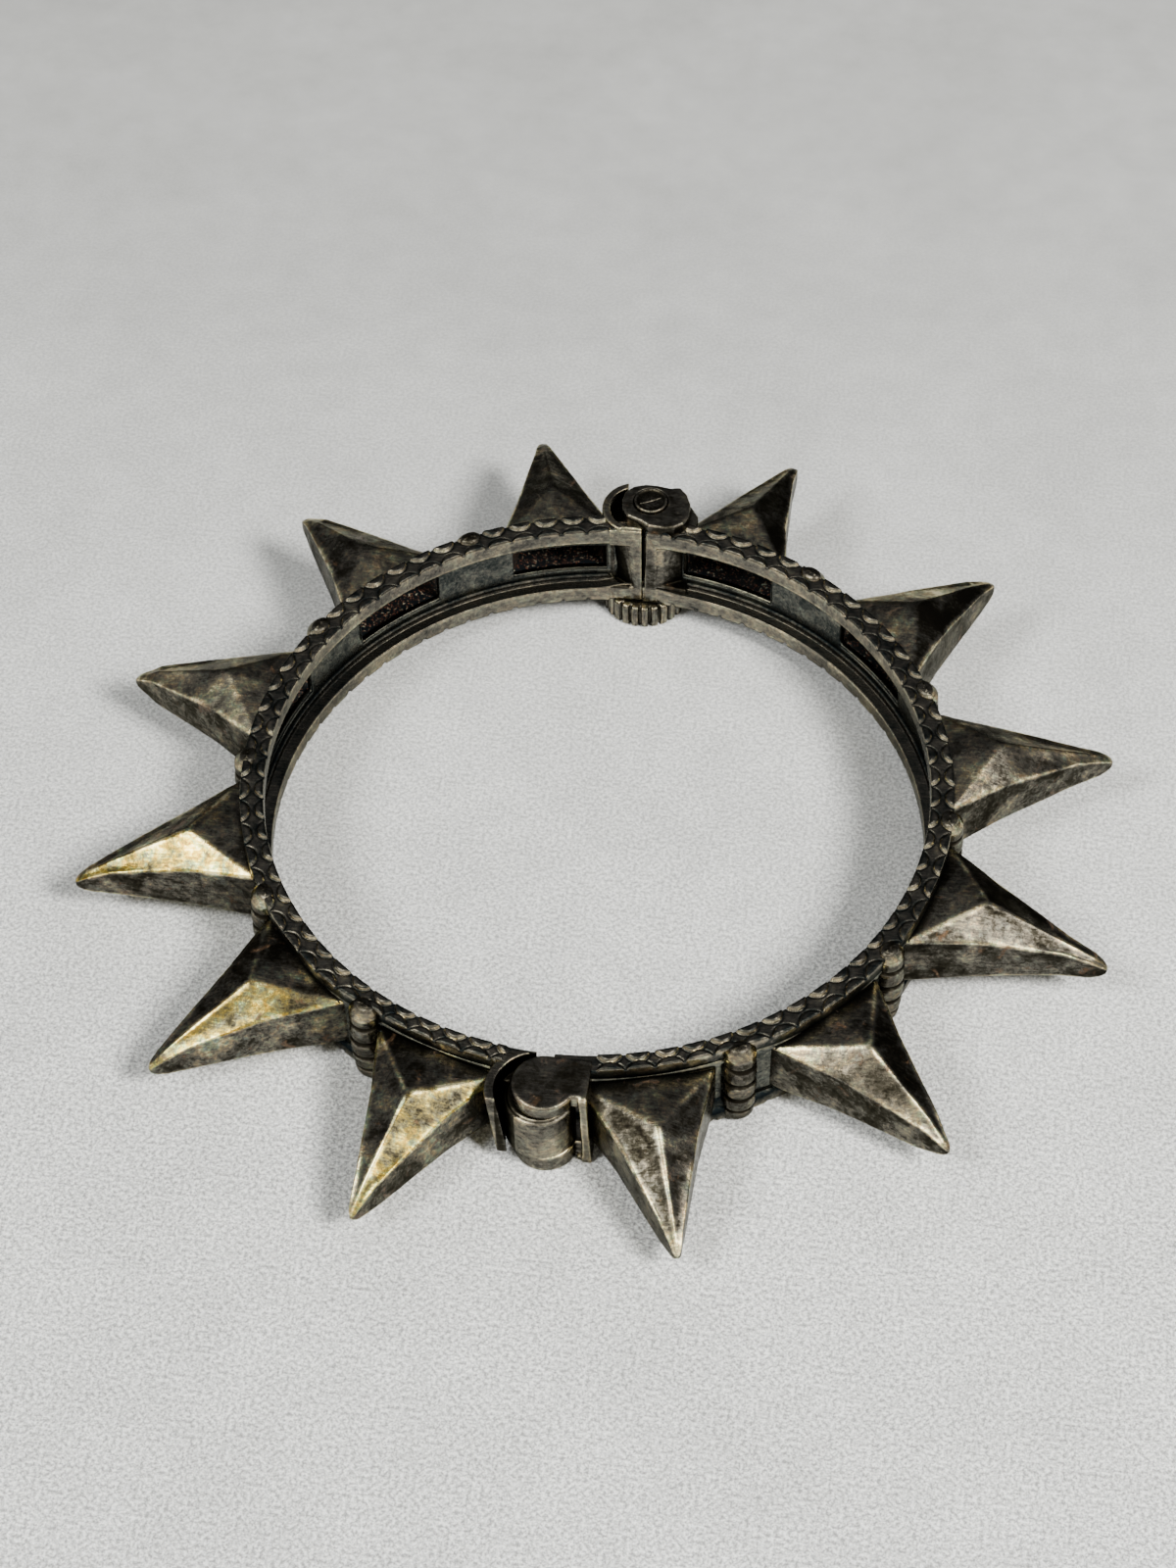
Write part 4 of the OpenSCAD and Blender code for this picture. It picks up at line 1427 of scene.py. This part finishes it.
def add_floor():
    mesh = bpy.data.meshes.new("floor")
    s = FLOOR_HALF
    mesh.from_pydata([(-s, -s, 0), (s, -s, 0), (s, s, 0), (-s, s, 0)], [], [(0, 1, 2, 3)])
    mesh.materials.append(paper())
    floor = add_object("floor", mesh)
    floor.rotation_euler = (-math.atan2(FLOOR_RISE, FLOOR_RUN), 0, 0)
    floor.location = (0, 0, (FLOOR_RISE * FLOOR_FROM / FLOOR_RUN - FLOOR_GAP) * MM)


def add_lamps():
    for name, (place, wide, power, colour, in_metal) in LAMPS.items():
        light = bpy.data.lights.new(name, "AREA")
        light.shape = "SQUARE"
        light.size = wide
        light.energy = power
        light.color = colour
        lamp = add_object(name, light)
        lamp.location = place
        lamp.rotation_euler = (-Vector(place)).to_track_quat("-Z", "Y").to_euler()
        lamp.visible_glossy = in_metal
        lamp.visible_diffuse = not in_metal


def add_room(scene):
    """What the metal mirrors. It doesn't light the floor."""
    world = bpy.data.worlds.new("room")
    scene.world = world
    world.use_nodes = True
    n = Nodes(world.node_tree)
    split = n.new("ShaderNodeSeparateXYZ")
    n.link(n.new("ShaderNodeTexCoord").outputs["Generated"], split.inputs[0])
    front = n.math("ADD", n.math("MULTIPLY", split.outputs["Y"], -0.5), 0.5)
    front = n.math("ADD", front, n.math("MULTIPLY", split.outputs["Z"], 0.075))
    background = n.new("ShaderNodeBackground")
    background.inputs["Strength"].default_value = 2.0
    n.link(n.ramp(front, ROOM), background.inputs["Color"])
    n.show(background, "ShaderNodeOutputWorld")
    world.cycles_visibility.diffuse = False


class BANGLE_OT_stage(bpy.types.Operator):
    """Camera, floor and soft lights"""

    bl_idname = "bangle.stage"
    bl_label = "Stage"

    def execute(self, context):
        add_camera(context.scene)
        add_floor()
        add_lamps()
        add_room(context.scene)
        return {"FINISHED"}


class BANGLE_OT_bands(bpy.types.Operator):
    """Both halves of the channelled band with their scalloped flanges"""

    bl_idname = "bangle.bands"
    bl_label = "Bands"

    def execute(self, context):
        size = sizes()
        for side in ("left", "right"):
            shell = Shell()
            for top in (True, False):
                flange(shell, side, size, top)
            metal = material_named("flange_silver")
            obj = make_object(f"band_{side}", shell, metal, wear_gain=0.25, level=size["mid"])
            settle(obj, side, "silver", f"{side}_half")
            shell = Shell()
            wall(shell, side)
            for row in SPIKES[side]:
                root_seam(shell, row, side)
            metal = material_named("wall_silver")
            obj = make_object(f"wall_{side}", shell, metal, wear_gain=0.2, level=size["mid"])
            settle(obj, side, "silver", f"{side}_half")
        return {"FINISHED"}


# shade of each spike's facets towards the ring, left and right of the tip, and of its walls;
# then how strongly its ridges are worn and painted bright. The shades are partly oxide and wear,
# partly painted light and shade, each facet set about as bright as it catches the light
SPIKE_TONES = {
    "left": [
        (0.53, 0.61, 0.75, 0.60, 0.4), (0.45, 0.66, 0.60, 0.66, 0.3), (0.52, 0.52, 0.44, 0.68, 0.3),
        (0.58, 0.36, 0.58, 0.67, 1.0), (0.68, 0.51, 0.72, 0.60, 1.0), (0.80, 0.62, 0.65, 0.62, 1.2),
    ],
    "right": [
        (0.36, 0.64, 1.0, 0.60, 0.3), (0.52, 0.26, 1.0, 0.64, 0.1), (0.46, 0.57, 0.55, 0.69, 0.6),
        (0.63, 0.86, 0.76, 0.76, 1.2), (0.66, 0.88, 0.60, 0.66, 1.1), (0.57, 0.68, 0.76, 0.60, 0.9),
    ],
}
# the left half's spikes in front of this angle get yellow painted on their lamp-lit facets, as
# highlight colour
LIT_YELLOW_FROM = 190


class BANGLE_OT_spikes(bpy.types.Operator):
    """Twelve hollow spikes"""

    bl_idname = "bangle.spikes"
    bl_label = "Spikes"

    def execute(self, context):
        size = sizes()
        number = 0
        for side in ("left", "right"):
            for row, tones in zip(SPIKES[side], SPIKE_TONES[side]):
                number += 1
                shell = Shell()
                lit_facet_share = spike(shell, row, size, number, tones)
                keep_clear(shell, side)
                lit_yellow_spike = side == "left" and row[0] > LIT_YELLOW_FROM
                metal = material_named("spike_lit_yellow" if lit_yellow_spike else "spike_silver")
                obj = make_object(f"spike_{number:02d}", shell, metal, wear_gain=0.7,
                                  grime_gain=0.25, level=size["mid"], reach=8)
                # the share of painted yellow highlight at each vertex
                if lit_yellow_spike:
                    store(obj.data, "lit_facet_yellow", lit_facet_share)
                settle(obj, side, "silver", f"{side}_half")
        return {"FINISHED"}


class BANGLE_OT_posts(bpy.types.Operator):
    """Ten ringed posts"""

    bl_idname = "bangle.posts"
    bl_label = "Posts"

    def execute(self, context):
        size = sizes()
        number = 0
        for side in ("left", "right"):
            for deg in POSTS[side]:
                number += 1
                shell = Shell()
                post(shell, deg, number)
                metal = material_named("post_silver")
                obj = make_object(f"post_{number:02d}", shell, metal, wear_gain=0.4, level=size["mid"])
                settle(obj, side, "silver", f"{side}_half")
        return {"FINISHED"}


# which half each joint piece rides on, its field, the box that it fills, its shade and how strongly
# its edges are worn
JOINTS = {
    "hinge_left": ("left", hinge_left_field, (-5.6, -36.6, -5.2), (3.2, -29.6, 5.2), 0.58, 0.8),
    "hinge_right": ("right", hinge_right_field, (-3.2, -36.6, -5.2), (4.6, -29.6, 5.2), 0.56, 1.3),
    "clasp_left": ("left", clasp_left_field, (-4.5, 29.6, -5.2), (3.4, 37.0, 5.7), 0.5, 0.8),
    "clasp_right": ("right", clasp_right_field, (-2.8, 29.6, -5.2), (6.0, 36.6, 6.1), 0.5, 0.5),
}
# grid spacing of the joint pieces
JOINT_STEP = 0.13


def joint_shade(name, points, tone):
    """Shade of a joint piece: even faces towards the wrist, rooms painted black for their shade, cheeks
    painted darker deeper in.
    """
    x, y, z = points.T
    from_axis = np.hypot(x, y)
    shade = np.full(len(points), tone)
    # darker tops
    if name == "hinge_right":
        shade = np.where(z > 4.7, 0.70, shade)
    if name == "clasp_right":
        shade = np.where(z > 3.2, 0.70, shade)
        shade = np.where(z > 5.7, 0.66, shade)
    to_wrist = from_axis < 30.35
    shade = np.where(to_wrist, 0.48, shade)
    # the hollow cheeks between the clasp's flat ends and the band's wall, painted darker deeper into
    # the hollow as painted shade
    cheek = (y > 0) & (from_axis < 32.2) & (np.abs(z + 0.1) < 2.85)
    if name == "clasp_right":
        # the lug's sides are painted dark, as painted shade
        shade = np.where((z > 4.9) & (z < 5.7), 0.76, shade)
        # painted shade across the right cheek, darker deeper in, with a lighter strip
        hollow = np.interp(x, (0.7, 1.45, 1.7, 2.2, 2.5, 3.6), (0.64, 0.62, 0.42, 0.46, 0.7, 0.95))
        shade = np.where(cheek & (x > 0.62), hollow, shade)
    if name == "clasp_left":
        hollow = np.interp(x, (-2.7, -1.7, -1.1, -0.7), (0.95, 0.75, 0.55, 0.48))
        shade = np.where(cheek & (x < -0.7), hollow, shade)
    # the rooms inside the guards are painted black, partly oxide, partly painted shade for their depth
    guards = {"hinge_left": (HINGE_GUARD, 3.75, 4.4), "clasp_left": (CLASP_GUARD, 2.7, 4.8)}
    if name in guards:
        centre, radius, top = guards[name]
        shaded_room = (np.hypot(x - centre[0], y - centre[1]) < radius) & (z < top)
        ahead = (y < -35.6) | (x > -0.2) & (y < -34)
        shade = np.where(shaded_room & ~to_wrist & ~ahead, 1.0, shade)
    # the channel's ledge under the end blocks, painted nearly black as painted shade
    ledge = (y > 0) & (np.abs(z + 3.05) < 0.15) & (from_axis > 30.12) & (np.abs(x) > 1.0)
    return np.where(ledge, 0.96, shade)


class BANGLE_OT_joints(bpy.types.Operator):
    """Knuckles, guards and end plates of the hinge and the clasp"""

    bl_idname = "bangle.joints"
    bl_label = "Hinge and clasp"

    def execute(self, context):
        size = sizes()
        for name, (side, field, low, high, tone, wear) in JOINTS.items():
            points, quads = surface_of(field, low, high, JOINT_STEP)
            shell = Shell()
            shell.add(points, [quads], joint_shade(name, points, tone))
            metal = material_named("joint_silver")
            obj = make_object(name, shell, metal, wear_gain=wear, grime_gain=1.2,
                              level=size["mid"], rough=0.03, reach=4)
            settle(obj, side, "silver", f"{side}_half")
        return {"FINISHED"}


class BANGLE_OT_pins(bpy.types.Operator):
    """Hinge pin and clasp screw"""

    bl_idname = "bangle.pins"
    bl_label = "Pin and screw"

    def execute(self, context):
        metal = material_named("screw_silver")
        obj = make_object("clasp_screw_knob", clasp_screw(sizes()), metal, wear_gain=0.3, rough=0.015)
        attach(obj, "screw")
        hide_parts("clasp_screw")
        obj = make_object("hinge_pin_rod", hinge_pin(), material_named("joint_silver"))
        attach(obj, "right")
        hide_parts("hinge_pin")
        return {"FINISHED"}


class BANGLE_PT_panel(bpy.types.Panel):
    """Lists the sizes and the pieces"""

    bl_idname = "BANGLE_PT_panel"
    bl_label = "Spiked bangle"
    bl_space_type = "VIEW_3D"
    bl_region_type = "UI"
    bl_category = "Bangle"

    def draw(self, context):
        column = self.layout.column()
        for group in (context.scene.bangle_sizes, context.scene.bangle_finish):
            for key in group.bl_rna.properties.keys():
                if key not in ("rna_type", "name"):
                    column.prop(group, key)
        for operator in OPERATORS:
            column.operator(operator.bl_idname)


OPERATORS = (
    BANGLE_OT_stage, BANGLE_OT_bands, BANGLE_OT_spikes, BANGLE_OT_posts, BANGLE_OT_joints,
    BANGLE_OT_pins,
)
CLASSES = (BangleSizes, BangleFinish, *OPERATORS, BANGLE_PT_panel)


def register():
    for item in CLASSES:
        bpy.utils.register_class(item)
    bpy.types.Scene.bangle_sizes = bpy.props.PointerProperty(type=BangleSizes)
    bpy.types.Scene.bangle_finish = bpy.props.PointerProperty(type=BangleFinish)


def unregister():
    del bpy.types.Scene.bangle_finish
    del bpy.types.Scene.bangle_sizes
    for item in reversed(CLASSES):
        bpy.utils.unregister_class(item)


def main():
    register()
    bpy.ops.bangle.stage()
    bpy.ops.bangle.bands()
    bpy.ops.bangle.spikes()
    bpy.ops.bangle.posts()
    bpy.ops.bangle.joints()
    bpy.ops.bangle.pins()
    bpy.context.view_layer.update()


if __name__ == "__main__":
    main()
